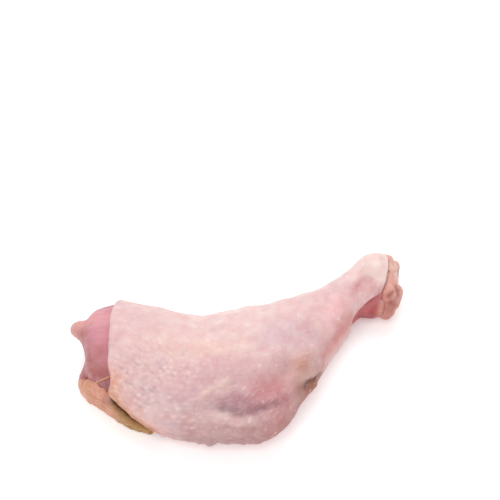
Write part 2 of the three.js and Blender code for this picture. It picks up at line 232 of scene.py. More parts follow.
BLOOD_LINES = [
    [(90.6, 30.8, 23), (92, 31.3, 24.2), (93.5, 31.7, 25.2), (95.4, 33.4, 25.6), (97, 36, 26)],
    [(97.8, 40, 26), (98.3, 38.2, 25.8), (99.1, 36.5, 24.3), (99.9, 33.7, 21.7), (100, 32, 19)],
]

PIMPLED_THIGH = Spot((-44, -46, 26), 34, 26, -10)
CREPED_HEM = Spot((-58, -34, 32), 17, 22, -20)
BARE_HOCK = Spot((80, 26, 16), 15, 11, 35)
HEM_CORNER = Spot((-73.5, -40, 20.8), 6, 6, 0)
HOCK_CROWN = Spot((91, 51, 29), 9, 16, 0)
HEM_RETREATS = [Retreat(-5, 6.5, 0.6), Retreat(21, 9, 0.16)]
SKIN_SWELLS = [
    Swell((76.5, 38.5, 28.4), 7, 5, 40, -0.9),
    Swell((84, 40, 29.5), 4, 3, 20, -0.5),
    Swell((82, 54, 31), 8, 8, 30, 1.9),
    Swell((94, 58, 28), 4, 8, 0, 1.7),
    Swell((-30, -45, 33), 26, 9, 12, 0.5),
    Swell((38, -25, 32), 8, 6, 40, 0.7),
    Swell((28, -33, 29), 9, 6, 30, -0.8),
    Swell((-17, -68, 8), 2.4, 4, 0, 1.7),
    Swell((-23, -68, 10), 2.0, 2.0, 0, 1.0),
    Swell((10, -67.5, 10), 4.6, 4.6, 0, 1.9),
    Swell((-11.4, -66.8, 8), 2.2, 5, 0, -1.5),
    Swell((-4, -69, 13), 3.0, 2.2, 0, 0.9),
    Swell((4, -67, 22), 8, 5, 0, 0.7),
    Swell((-11, -67, 21), 6, 5, 0, 0.6),
    Swell((17, -63.5, 20), 6, 5, 0, 0.5),
]
SKIN_FOLDS = [
    Fold(KNEE_CREASE, 2.0, -1.2, 0.6),
    Fold(KNEE_WRINKLE, 1.5, -0.6, 0.35),
    Fold(KNEE_RIDGE, 2.2, 0.7, 0),
    Fold(KNEE_NOTCH, 2.4, -1.5, 0.3),
    Fold(NOTCH_TAG, 2.4, 2.1, 0),
    Fold(HOLLOW_LINE, 4.0, -0.7, 0),
    Fold(ROLL_LINE, 1.8, -0.7, 0.3),
    Fold(HOCK_LINE, 2.0, -0.4, 0),
    *(Fold(path, 1.8, -0.45, 0.25) for path in BACK_FOLDS),
]

# Where each piece changes colour, by the names of its settings.
SKIN_PATCHES = [
    Patch((-30, 12, 28), 34, 14, 10, "bright", 0.75),
    Patch((10, 16, 30), 26, 12, 15, "bright", 0.65),
    Patch((-22, -18, 37), 22, 9, 0, "cream", 0.6),
    Patch((5, -14, 36), 10, 7, 0, "cream", 0.5),
    Patch((-52, -8, 34), 9, 6, 0, "cream", 0.5),
    Patch((25, -9, 37), 18, 9, 20, "lavender", 0.65),
    Patch((-62, -24, 34), 9, 3, -35, "grey", 0.25),
    Patch((-73, -37, 23), 6, 9, -35, "hem", 0.7),
    Patch((-36, -50, 30), 22, 9, -8, "lavender", 0.35),
    # Flushed skin with painted shade: pinker and darker over the upward-facing middle of the thigh.
    Patch((-16, -34, 36), 22, 9, 12, "pink", 0.7),
    Patch((-62, -14, 33), 14, 16, 0, "pale", 0.8),
    # Painted shade in the hollow above the knee crease.
    Patch((3, -53.5, 30), 25, 8, 6, "mauve", 0.9),
    Patch((16, -42, 29.5), 12, 8, 10, "rose", 0.75),
    Patch((26, -41, 28), 15, 11, 20, "rose", 0.35),
    Patch((37, -27, 31), 8, 6, 40, "tan", 0.8),
    Patch((42, -33, 16), 13, 10, 50, "umber", 0.85),
    Patch((36, -37.5, 22), 7, 4, 40, "umber", 0.6),
    # Painted shade low on the roll, next to the board.
    Patch((9, -67, 13), 12, 6, 0, "mauve", 0.35),
    # Painted shade over the roll's lower, near side, in these two.
    Patch((2, -67, 14), 34, 12, 4, "shade", 0.65),
    Patch((-22, -64, 20), 14, 10, -10, "shade", 0.5),
    Patch((7, -66, 21), 7, 5, 0, "tan", 0.3),
    Patch((24, -58, 18), 15, 12, 25, "rose", 0.6),
    Patch((51, -8, 28), 20, 8, 45, "rose", 0.12),
    # Pinker skin with painted light over the shank, which the lamps leave in shade.
    Patch((62, 17, 32), 20, 9, 45, "taut", 0.85),
    Patch((-60, 4, 34), 16, 10, 0, "pink", 0.3),
    Patch((75.5, 36, 28), 8, 5, 40, "rose", 0.45),
    Patch((85, 35, 27), 5, 3.5, 0, "rose", 0.6),
    Patch((82, 53, 32), 14, 9, 30, "bright", 1.0),
    Patch((86, 53, 30), 11, 11, 20, "fleck", 0.85),
    # Painted light on the rim of the skin at the hock, where the dipped hem is in shade.
    Patch((91, 40, 30.5), 3.5, 7, 0, "fleck", 0.65),
    # Painted highlight along the roll just under the knee crease.
    Patch((-7, -61.8, 28), 16, 4, 0, "bright", 0.5),
    Patch((4, -6, 37), 14, 7, 10, "bright", 0.5),
]
SKIN_STAINS = [
    # Painted shade along the lower edge where the skin meets the board.
    Stain(BOARD_EDGE, 6.0, "board_shade", 0.7),
    # Rose-brown skin with painted shade along the lower edge beside the knee.
    Stain(KNEE_EDGE, 6.5, "russet_edge_shade", 0.85),
    Stain(SHANK_EDGE, 5.5, "blush", 0.75),
    # Painted shade in the bottom of the knee crease.
    Stain(KNEE_CREASE, 2.4, "crease_shade_purple", 0.44),
    Stain(KNEE_WRINKLE, 2.0, "rose", 0.5),
    Stain(KNEE_RIDGE, 2.2, "cream", 0.5),
    # Brown skin with painted shade in the recess of the notch.
    Stain(KNEE_NOTCH, 2.6, "brown", 0.9),
    Stain(NOTCH_TAG, 2.4, "ochre", 0.6),
    Stain(NOTCH_TAG, 2.0, "brown", 0.35),
    # Painted shade in the groove along the roll.
    Stain(ROLL_LINE, 2.2, "mauve", 0.25),
    Stain(HOCK_LINE, 2.4, "rose", 0.4),
    Stain(HEM_LINE, 6.0, "hem", 0.8),
    Stain(HEM_LINE[LOW_HEM:], 2.5, "ochre", 0.9),
]
MEAT_PATCHES = [
    # Pink muscle with a painted highlight at the top of the cut hip.
    Patch((-86, 12, 27), 14, 12, 0, "pink", 0.9),
    # Rose muscle with painted shade low on the cut hip.
    Patch((-84, -26, 19), 16, 14, 0, "rose", 0.95),
    Patch((-104, 11, 18), 14, 11, 0, "stump", 0.75),
    Patch((92, 46, 17), 9, 22, 0, "gristle", 0.6),
    Patch((80, 26, 16), 26, 18, 35, "red", 1.0),
    Patch((93, 56, 27), 9, 10, 0, "gristle", 0.85),
    Patch((-30, -15, 0), 60, 12, -10, "underneath", 0.9),
    # Painted shade in the gap under the hip's hem.
    Patch((-79, -33.5, 18.5), 7, 7, 0, "brown", 0.95),
    # Rose muscle with painted shade along the cut hip's left edge, in these two.
    Patch((-93, -7, 19), 4, 12, 0, "rose", 0.75),
    Patch((-90, -14, 16), 8, 11, 0, "rose", 0.85),
    # Pink muscle with a painted highlight.
    Patch((-80, -6, 30), 9, 10, 0, "pink", 0.5),
    Patch((92, 28, 14), 3, 5, 0, "rose", 0.6),
]
MEAT_STAINS = [
    # Painted shade along the gap under the hip's hem.
    Stain(GAP_LINE, 4.0, "brown", 0.9),
    # Painted shadow along the lower edge of the bare meat at the hock.
    Stain(WEDGE_LINE, 2.4, "blood", 0.7),
    *(Stain(path, 1.7, "gristle", 0.7) for path in TENDONS),
]
KNUCKLE_PATCHES = [
    Patch((94, 54, 27), 8, 8, 0, "pale", 0.9),
    Patch((103, 46, 14), 5, 11, 0, "cartilage", 0.9),
    Patch((95.2, 29.1, 21), 4.2, 3.8, 0, "marrow", 0.5),
    Patch((95.6, 29, 16), 7, 6, 0, "marrow", 0.56),
    Patch((93, 29, 8), 6, 6, 0, "marrow", 0.5),
    Patch((102, 56, 17), 5, 4.4, 0, "marrow", 0.85),
    Patch((103, 36, 12), 4, 4, 0, "marrow", 0.7),
]
KNUCKLE_STAINS = [Stain(path, 1.5, "marrow", 0.65) for path in BLOOD_LINES]
# Painted shade on the fat along the gap under the hip's hem.
FAT_STAINS = [Stain(GAP_LINE, 3.0, "gap", 0.95)]

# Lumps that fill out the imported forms: place and radius in millimetres.
STUMP_LOBES = [
    (-95.2, 6.2, 17.4, 4.8), (-91.8, 1.4, 16.6, 4.8), (-88.2, -4.4, 17, 5.4), (-90.4, -13.4, 9.6, 5.2),
    (-91.8, -16.4, 5.8, 5.2),
]
FAT_LOBES = [
    (-92.8, -19.5, 3.6, 4.4), (-92.4, -21.5, 4.6, 4.6), (-90.8, -25.4, 5.2, 5.2),
    (-86.8, -29.4, 5.6, 5.6), (-82.4, -33.2, 5, 5.2), (-77.6, -36.6, 4.2, 4.6), (-90.2, -28.6, 2.8, 3.2),
    (-85, -33, 2.4, 3), (-79.4, -39.4, 2.2, 3), (-75.4, -42.6, 5.4, 3.8), (-71, -45.4, 5, 3.6),
    (-66.6, -48, 4.6, 3.2), (-88, -27, 10.6, 4.8), (-83.6, -31, 13.2, 4.8), (-80.2, -33.8, 13.4, 4.8),
    (-76.8, -38.2, 12.4, 5), (-74.4, -40.4, 11.4, 5), (-71.9, -42.7, 10.6, 4.8), (-67.8, -46, 9.4, 4.4),
    (-63.4, -49, 7.6, 4), (-58.6, -51.4, 5.8, 3.6), (-53.8, -53, 4.2, 3), (-92.6, -23.6, 7.6, 3.2),
    (-89.6, -29, 7.4, 3.4), (-84.6, -34, 7.2, 3.2),
]
KNUCKLE_LOBES = [
    (94.4, 58.4, 26, 5), (94, 53.5, 21.5, 7.4), (95.4, 46, 20, 6.2), (97.4, 39, 17.6, 7.6),
    (95.8, 35, 15.4, 7.2), (94.2, 32.6, 11.6, 6), (92.6, 31, 8.4, 4.6),
]
LOBE_SUBDIVISIONS = 3
WELD_DISTANCE = 0.002 * MM
SOFTENING = 0.5


def linear(red, green, blue):
    """A display colour, 0 to 255 a channel, as the linear values that a shader takes."""
    shares = np.array((red, green, blue)) / 255
    low = shares / 12.92
    high = ((shares + 0.055) / 1.055) ** 2.4
    return tuple(float(value) for value in np.where(shares <= 0.04045, low, high))


def normalised(vectors):
    return vectors / np.linalg.norm(vectors, axis=-1, keepdims=True)


class Noise:
    """A smooth random field in space that is the same on every run.

    Points with a number added to them read another part of the same field.
    """

    LATTICE = 256
    GAIN = 1.5
    CORNERS = np.array(list(product((0, 1), repeat=3)))

    def __init__(self, seed):
        draws = np.random.default_rng(seed)
        self.order = draws.permutation(self.LATTICE)
        self.slopes = normalised(draws.normal(size=(self.LATTICE, 3)))

    def at(self, points, size):
        """Values of about -1 to 1 at points in millimetres, in lumps of the size given."""
        scaled = np.asarray(points) / size
        cell = np.floor(scaled).astype(int)
        inside = scaled - cell
        ease = inside**3 * (inside * (inside * 6 - 15) + 10)
        total = np.zeros(len(scaled))
        for corner in self.CORNERS:
            x, y, z = ((cell + corner) % self.LATTICE).T
            first = self.order[x]
            second = self.order[(first + y) % self.LATTICE]
            slope = self.slopes[self.order[(second + z) % self.LATTICE]]
            share = np.where(corner, ease, 1 - ease).prod(axis=1)
            total += share * ((inside - corner) * slope).sum(axis=1)
        return total * self.GAIN

    def layered(self, points, size, layers=3):
        """Lumps with smaller lumps on them, each layer half the size and height of the one before."""
        return sum(self.at(points, size / 2**k) / 2**k for k in range(layers))


def smoothstep(values, start, end):
    share = np.clip((values - start) / (end - start), 0, 1)
    return share * share * (3 - 2 * share)


def bell(values):
    """1 at nought, falling away smoothly on either side."""
    return np.exp(-(values**2))


def nearness(points, spot):
    """1 at the spot's place, fading out over its length and breadth."""
    turn = math.radians(spot.turn)
    dx, dy, dz = (points - np.array(spot.place)).T
    along = (dx * math.cos(turn) + dy * math.sin(turn)) / spot.length
    across = (dy * math.cos(turn) - dx * math.sin(turn)) / spot.breadth
    return np.exp(-(along**2) - across**2 - (dz / spot.breadth) ** 2)


def swollen(points, swells):
    """How far the swells lift each point."""
    return sum(swell.rise * nearness(points, swell) for swell in swells)


def distance_to(points, path):
    """Distance from each point to a path of straight pieces, and how full it is there: 0 at its ends."""
    nearest = np.full(len(points), np.inf)
    reached = np.zeros(len(points))
    corners = np.array(path, float)
    pieces = len(corners) - 1
    for k, (start, end) in enumerate(zip(corners[:-1], corners[1:])):
        run = end - start
        share = np.clip((points - start) @ run / (run @ run), 0, 1)
        gap = np.linalg.norm(points - start - share[:, None] * run, axis=1)
        reached = np.where(gap < nearest, (k + share) / pieces, reached)
        nearest = np.minimum(nearest, gap)
    return nearest, smoothstep(0.5 - np.abs(reached - 0.5), 0, PATH_TAPER)


def fold_rise(points, fold, wander):
    """A groove or ridge along a path that tapers out at its ends, with a lip on either side of a groove."""
    gap, fullness = distance_to(points, fold.path)
    gap = gap / fold.width + FOLD_WANDER * wander
    return fullness * (fold.rise * bell(gap) + fold.lip * bell(np.abs(gap) - LIP_PLACE))


def strayed(points, noise, reach, size):
    """Points moved about by noise, which gives patches of colour uneven edges."""
    return points + reach * np.stack([noise.layered(points + shift, size) for shift in STRAY_SHIFTS], -1)


def mixed(colours, other, share):
    return colours + (np.array(other) - colours) * np.asarray(share)[:, None]


def plain(points, tint):
    return np.tile(np.array(tint), (len(points), 1))


def mottled(colours, points, noise, mottle, look, where=1):
    """Colours with another mixed in where noise is high."""
    field = noise.layered(points + mottle.shift, mottle.size, mottle.layers)
    share = mottle.strength * smoothstep(field, mottle.start, mottle.end) * where
    return mixed(colours, getattr(look, mottle.colour), share)


def patched(colours, points, patches, look):
    for patch in patches:
        colours = mixed(colours, getattr(look, patch.colour), patch.strength * nearness(points, patch))
    return colours


def stained(colours, points, stains, look):
    for stain in stains:
        gap, fullness = distance_to(points, stain.path)
        share = stain.strength * fullness * bell(gap / stain.width)
        colours = mixed(colours, getattr(look, stain.colour), share)
    return colours


def through(values, station):
    """Catmull-Rom curve through evenly numbered values, with straight run-outs."""
    padded = np.concatenate([[2 * values[0] - values[1]], values, [2 * values[-1] - values[-2]]])
    station = np.asarray(station, float)
    i = np.clip(np.floor(station).astype(int), 0, len(values) - 2)
    a, b, c, d = (padded[i + k] for k in range(4))
    f = station - i
    bend = (2 * a - 5 * b + 4 * c - d) * f + (3 * b - a - 3 * c + d) * f * f
    return b + 0.5 * (c - a + bend) * f


def spine_at(station):
    """Points on the middle line and the directions towards the knee side, in millimetres."""
    x, y, turn = (through(column, station) for column in SPINE.T)
    turn = np.radians(turn)
    middle = np.stack([x, y, np.full_like(x, SPINE_LEVEL)], -1)
    aside = np.stack([np.sin(turn), -np.cos(turn), np.zeros_like(x)], -1)
    return middle, aside


def along_the_leg(points):
    """How far along the middle line each point lies, and how far to the knee side of it, in millimetres."""
    middle, aside = spine_at(np.linspace(0, len(SPINE) - 1, SPINE_SAMPLES))
    steps = np.linalg.norm(np.diff(middle, axis=0), axis=1)
    travelled = np.concatenate([[0], np.cumsum(steps)])
    nearest = np.empty(len(points), int)
    for part in np.array_split(np.arange(len(points)), max(1, len(points) // POINTS_AT_ONCE)):
        gaps = np.linalg.norm(points[part, None, :2] - middle[None, :, :2], axis=2)
        nearest[part] = gaps.argmin(axis=1)
    offset = ((points - middle[nearest]) * aside[nearest]).sum(axis=1)
    return travelled[nearest], offset


def rounded(values, axis=0):
    """Values averaged with their neighbours along an axis that closes on itself."""
    return (np.roll(values, 1, axis) + 2 * values + np.roll(values, -1, axis)) / 4


def eased(grid, times):
    """Evens out a grid of points that is open along the leg and closed round it."""
    for _ in range(times):
        grid = rounded(grid, 1)
        inner = (grid[:-2] + 2 * grid[1:-1] + grid[2:]) / 4
        grid = np.concatenate([grid[:1], inner, grid[-1:]])
    return grid


class SkinRays:
    """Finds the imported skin's outer face along rays from the leg's middle line."""

    def __init__(self):
        packed = frame["nodes"]["skin"].data
        corners = [vertex.co for vertex in packed.vertices]
        faces = [tuple(face.vertices) for face in packed.polygons]
        self.tree = BVHTree.FromPolygons(corners, faces)

    def hits(self, stations, angle):
        """Points of the outer face at stations and an angle, not numbers where it is bare."""
        middles, asides = spine_at(stations)
        turn = math.radians(angle)
        rays = asides * math.cos(turn) + np.array((0, 0, math.sin(turn)))
        found = np.full((len(stations), 3), np.nan)
        for i, (middle, ray) in enumerate(zip((middles * MM).tolist(), rays.tolist())):
            towards = Vector(ray)
            inner = self.tree.ray_cast(Vector(middle), towards, RAY_REACH)[0]
            if inner is not None:
                outer = self.tree.ray_cast(inner + towards * SKIN_STEP_PAST, towards, SKIN_WALL)[0]
                found[i] = outer or inner
        return found / MM

    def edges(self, angle):
        """The stations between which the skin covers the leg at an angle round it."""
        stations = np.arange(SKIN_FIRST_STATION, SKIN_LAST_STATION, SKIN_SEARCH_STEP)
        covered = np.flatnonzero(~np.isnan(self.hits(stations, angle)[:, 0]))
        inside = stations[[covered[0], covered[-1]]]
        outside = inside + np.array((-SKIN_SEARCH_STEP, SKIN_SEARCH_STEP))
        for _ in range(SKIN_SEARCH_HALVINGS):
            between = (inside + outside) / 2
            bare = np.isnan(self.hits(between, angle)[:, 0])
            outside = np.where(bare, between, outside)
            inside = np.where(bare, inside, between)
        return inside


def wrap(angle):
    return (angle + 180) % 360 - 180


def skin_angles():
    """Angles round the leg, spaced evenly over the skin's upper side and wider underneath."""
    fine = np.linspace(-90, 270, ANGLE_SAMPLES)
    turn = np.radians(fine)
    reach = SECTION_HALF_WIDTH * SECTION_HALF_HEIGHT
    reach = reach / np.hypot(SECTION_HALF_HEIGHT * np.cos(turn), SECTION_HALF_WIDTH * np.sin(turn))
    ring = np.stack([reach * np.cos(turn), reach * np.sin(turn)], -1)
    wrapped = wrap(fine[1:])
    underneath = (wrapped > UNDERSIDE_ANGLES[0]) & (wrapped < UNDERSIDE_ANGLES[1])
    steps = np.linalg.norm(np.diff(ring, axis=0), axis=1) * np.where(underneath, UNDERSIDE_FINENESS, 1)
    travelled = np.concatenate([[0], np.cumsum(steps)])
    return np.interp(np.arange(SKIN_COLUMNS) / SKIN_COLUMNS * travelled[-1], travelled, fine)


def skin_grid():
    """The skin's smooth outer face as a grid of points in millimetres."""
    rays = SkinRays()
    angles = skin_angles()
    hip, hock = np.array([rays.edges(angle) for angle in angles]).T
    away = wrap(angles) - HOCK_BARE_ANGLE
    away = away / np.where(away < 0, *HOCK_BARE_SPREADS)
    bare = (HOCK_RIM_STATION - HOCK_BARE_STATION) * np.exp(-(away**HOCK_BARE_SQUARENESS))
    hock = np.minimum(hock, HOCK_RIM_STATION - bare)
    for retreat in HEM_RETREATS:
        hip = hip + retreat.stations * bell((wrap(angles) - retreat.angle) / retreat.spread)
    for _ in range(EDGE_SMOOTHING):
        hip = rounded(hip)
        hock = rounded(hock)
    turn = np.radians(angles)
    circle = SECTION_HALF_WIDTH * np.stack([np.cos(turn), np.sin(turn), np.zeros_like(turn)], -1)
    hip = hip + HEM_WANDER * (1 + Noise(1).layered(circle, HEM_WANDER_LENGTH))
    hock = hock - HEM_WANDER * (1 + Noise(2).layered(circle, HEM_WANDER_LENGTH))
    shares = np.linspace(0, 1, SKIN_ROWS)
    grid = np.empty((SKIN_ROWS, SKIN_COLUMNS, 3))
    for j, angle in enumerate(angles):
        lane = rays.hits(hip[j] + (hock[j] - hip[j]) * shares, angle)
        found = ~np.isnan(lane[:, 0])
        for axis in range(3):
            grid[:, j, axis] = np.interp(shares, shares[found], lane[found, axis])
    grid = eased(grid, FACET_SMOOTHING)
    flat = grid.reshape(-1, 3)
    pulls = ((HEM_CORNER, HEM_PULL), (HOCK_CROWN, HOCK_PULL))
    pulled = sum(nearness(flat, spot)[:, None] * pull for spot, pull in pulls)
    return grid + pulled.reshape(grid.shape)


def grid_normals(grid):
    along = np.gradient(grid, axis=0)
    round_it = (np.roll(grid, -1, axis=1) - np.roll(grid, 1, axis=1)) / 2
    return normalised(np.cross(along, round_it))


def edge_distances(grid):
    """Distance of every point of a grid from its first row and from its last, along the columns."""
    steps = np.linalg.norm(np.diff(grid, axis=0), axis=2)
    travelled = np.concatenate([np.zeros((1, grid.shape[1])), np.cumsum(steps, axis=0)])
    return travelled, travelled[-1:] - travelled


def round_distances(grid, top):
    """Distance of every point of a grid from the column at the top, along its row."""
    steps = np.linalg.norm(np.roll(grid, -1, axis=1) - grid, axis=2)
    travelled = np.cumsum(steps, axis=1) - steps
    return travelled - travelled[:, top : top + 1]


def follicle_field(along, around, spacing, seed):
    """Distance to the nearest feather follicle of a staggered, uneven lattice, and that follicle's size."""
    draws = np.random.default_rng(seed)
    shift = draws.uniform(-FOLLICLE_SHIFT, FOLLICLE_SHIFT, (FOLLICLE_CELLS, FOLLICLE_CELLS, 2))
    size = draws.uniform(*FOLLICLE_SIZES, (FOLLICLE_CELLS, FOLLICLE_CELLS))
    lane_height = spacing * math.sqrt(3) / 2
    lane = np.floor(around / lane_height).astype(int)
    nearest = np.full(along.shape, np.inf)
    height = np.zeros(along.shape)
    for step, move in product((-1, 0, 1), repeat=2):
        near_lane = lane + step
        stagger = 0.5 * (near_lane % 2)
        near_place = np.floor(along / spacing - stagger).astype(int) + move
        index = (near_place % FOLLICLE_CELLS, near_lane % FOLLICLE_CELLS)
        x = (near_place + stagger + 0.5 + shift[index][..., 0]) * spacing
        y = (near_lane + 0.5 + shift[index][..., 1]) * lane_height
        gap = np.hypot(along - x, around - y)
        closer = gap < nearest
        nearest = np.where(closer, gap, nearest)
        height = np.where(closer, size[index], height)
    return nearest, height


def crepe_grain(points):
    """Places stretched along the slanting wrinkles near the hip's hem."""
    along = points[:, 0] * math.cos(CREPE_TURN) + points[:, 1] * math.sin(CREPE_TURN)
    across = points[:, 1] * math.cos(CREPE_TURN) - points[:, 0] * math.sin(CREPE_TURN)
    return np.stack([CREPE_STRETCH * along, across, points[:, 2]], -1)


def skin_relief(points, around, hip_gap, hock_gap, look):
    """How far the skin stands out at each point, in millimetres, and how much of a pimple it is there."""
    lumps = Noise(3)
    crinkles = Noise(5)
    rise = sum(height * lumps.layered(points, size, layers) for height, size, layers in SKIN_LUMPS)
    rise = rise + swollen(points, SKIN_SWELLS)
    wander = lumps.at(points + 70, FOLD_WANDER_LENGTH)
    for fold in SKIN_FOLDS:
        rise = rise + fold_rise(points, fold, wander)
    board_gap, fullness = distance_to(points, BOARD_LINE)
    ruffles = crinkles.layered(points * RUFFLE_STRETCH + 20, RUFFLE_LENGTH, 2)
    rise = rise + RUFFLE_HEIGHT * fullness * bell(board_gap / RUFFLE_BREADTH) * ruffles
    pimpled = PIMPLED_ALL_OVER + PIMPLED_ON_THIGH * nearness(points, PIMPLED_THIGH)
    pimpled = pimpled * smoothstep(distance_to(points, KNEE_NOTCH)[0], *UNPIMPLED_NOTCH)
    clustered = smoothstep(lumps.at(points, PIMPLE_CLUSTER), *PIMPLE_CLUSTER_EDGE)
    pimpled = pimpled * (SPARSE_PIMPLES + (1 - SPARSE_PIMPLES) * clustered)
    gap, size = follicle_field(along_the_leg(points)[0], around, look.pimple_spacing / MM, 11)
    pimple = pimpled * size * bell(gap / PIMPLE_RADIUS)
    rise = rise + look.pimple_height / MM * pimple
    ridges = 1 - 2 * np.abs(crinkles.at(crepe_grain(points), CREPE_SPACING))
    fine = crinkles.layered(points, CRINKLE_LENGTH, 2)
    creped = CREPED_ALL_OVER + CREPED_WITH_PIMPLES * pimpled + CREPED_AT_HEM * nearness(points, CREPED_HEM)
    rise = rise + look.crinkle_height / MM * creped * (CREPE_SHARE * ridges + CRINKLE_SHARE * fine)
    rise = np.maximum(rise, DEEPEST_CREASE)
    rolled = HIP_HEM_RISE * bell((hip_gap - HIP_HEM_PLACE) / HIP_HEM_BREADTH)
    hip_hem = rolled * (1 + lumps.at(points + 40, HIP_HEM_LUMP))
    hock_hem = -HOCK_HEM_DIP * (1 - smoothstep(hock_gap, 0, HOCK_HEM_BREADTH))
    return rise + hip_hem + hock_hem, pimple


def grid_mesh(name, rows, closed_rows):
    """A closed mesh over rings of points in millimetres, the last joined to the first or both capped."""
    count, columns = rows.shape[:2]
    index = np.arange(count * columns).reshape(count, columns)
    rings = np.concatenate([index, index[:1]]) if closed_rows else index
    beside = np.roll(rings, -1, axis=1)
    faces = np.stack([rings[:-1], rings[1:], beside[1:], beside[:-1]], -1).reshape(-1, 4)
    caps = [] if closed_rows else [index[0].tolist(), index[-1, ::-1].tolist()]
    mesh = bpy.data.meshes.new(name)
    mesh.from_pydata((rows.reshape(-1, 3) * MM).tolist(), [], faces.tolist() + caps)
    shape = bmesh.new()
    shape.from_mesh(mesh)
    bmesh.ops.recalc_face_normals(shape, faces=shape.faces)
    shape.to_mesh(mesh)
    shape.free()
    mesh.shade_smooth()
    return linked(name, mesh)


def linked(name, data):
    made = bpy.data.objects.new(name, data)
    bpy.context.scene.collection.objects.link(made)
    return made


def paint(piece, colours):
    """Keeps a colour for every vertex, which the piece's material reads as its tint."""
    layer = piece.data.color_attributes.new("tint", "FLOAT_COLOR", "POINT")
    alpha = np.ones((len(colours), 1))
    layer.data.foreach_set("color", np.concatenate([np.clip(colours, 0, 1), alpha], axis=1).ravel())


def keep_grain(piece, grain):
    """Keeps a place in the grain of the flesh for every vertex."""
    layer = piece.data.attributes.new("grain", "FLOAT_VECTOR", "POINT")
    layer.data.foreach_set("vector", np.asarray(grain, np.float32).ravel())


def evened(node, name, voxel, smoothing, lobes):
    """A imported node's form with its lobes in small even faces, with points in millimetres and normals."""
    shape = bmesh.new()
    shape.from_mesh(frame["nodes"][node].data)
    for x, y, z, radius in lobes:
        place = Matrix.Translation(Vector((x, y, z)) * MM)
        bmesh.ops.create_icosphere(shape, subdivisions=LOBE_SUBDIVISIONS, radius=radius * MM, matrix=place)
    start = bpy.data.meshes.new(name)
    shape.to_mesh(start)
    shape.free()
    piece = linked(name, start)
    piece.modifiers.new("joined", "WELD").merge_threshold = WELD_DISTANCE
    even = piece.modifiers.new("even", "REMESH")
    even.mode = "VOXEL"
    even.voxel_size = voxel
    soft = piece.modifiers.new("soft", "SMOOTH")
    soft.factor = SOFTENING
    soft.iterations = smoothing
    depsgraph = bpy.context.evaluated_depsgraph_get()
    mesh = bpy.data.meshes.new_from_object(piece.evaluated_get(depsgraph))
    piece.modifiers.clear()
    piece.data = mesh
    mesh.name = name
    mesh.materials.clear()
    mesh.shade_smooth()
    return piece, vectors_of(mesh.vertices, "co") / MM, vectors_of(mesh.vertex_normals, "vector")


def vectors_of(items, name):
    values = np.empty(len(items) * 3, np.float32)
    items.foreach_get(name, values)
    return values.reshape(-1, 3).astype(float)


def relaxed(piece, points, share, times):
    """Moves each point a share of the way to the middle of its neighbours, again and again."""
    ends = np.empty(len(piece.data.edges) * 2, np.int32)
    piece.data.edges.foreach_get("vertices", ends)
    first, second = ends.reshape(-1, 2).T
    count = len(points)
    neighbours = np.bincount(first, minlength=count) + np.bincount(second, minlength=count)
    for _ in range(times):
        sums = [
            np.bincount(first, points[second, k], count) + np.bincount(second, points[first, k], count)
            for k in range(3)
        ]
        middle = np.stack(sums, -1) / neighbours[:, None]
        points = points + (middle - points) * share[:, None]
    return points


def reshape(piece, points):
    piece.data.vertices.foreach_set("co", (points * MM).astype(np.float32).ravel())
    piece.data.update()


def finished(piece, node, material):
    """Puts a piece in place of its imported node, with its finish."""
    piece.data.materials.append(material)
    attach(piece, BODY)
    if node:
        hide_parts(node)


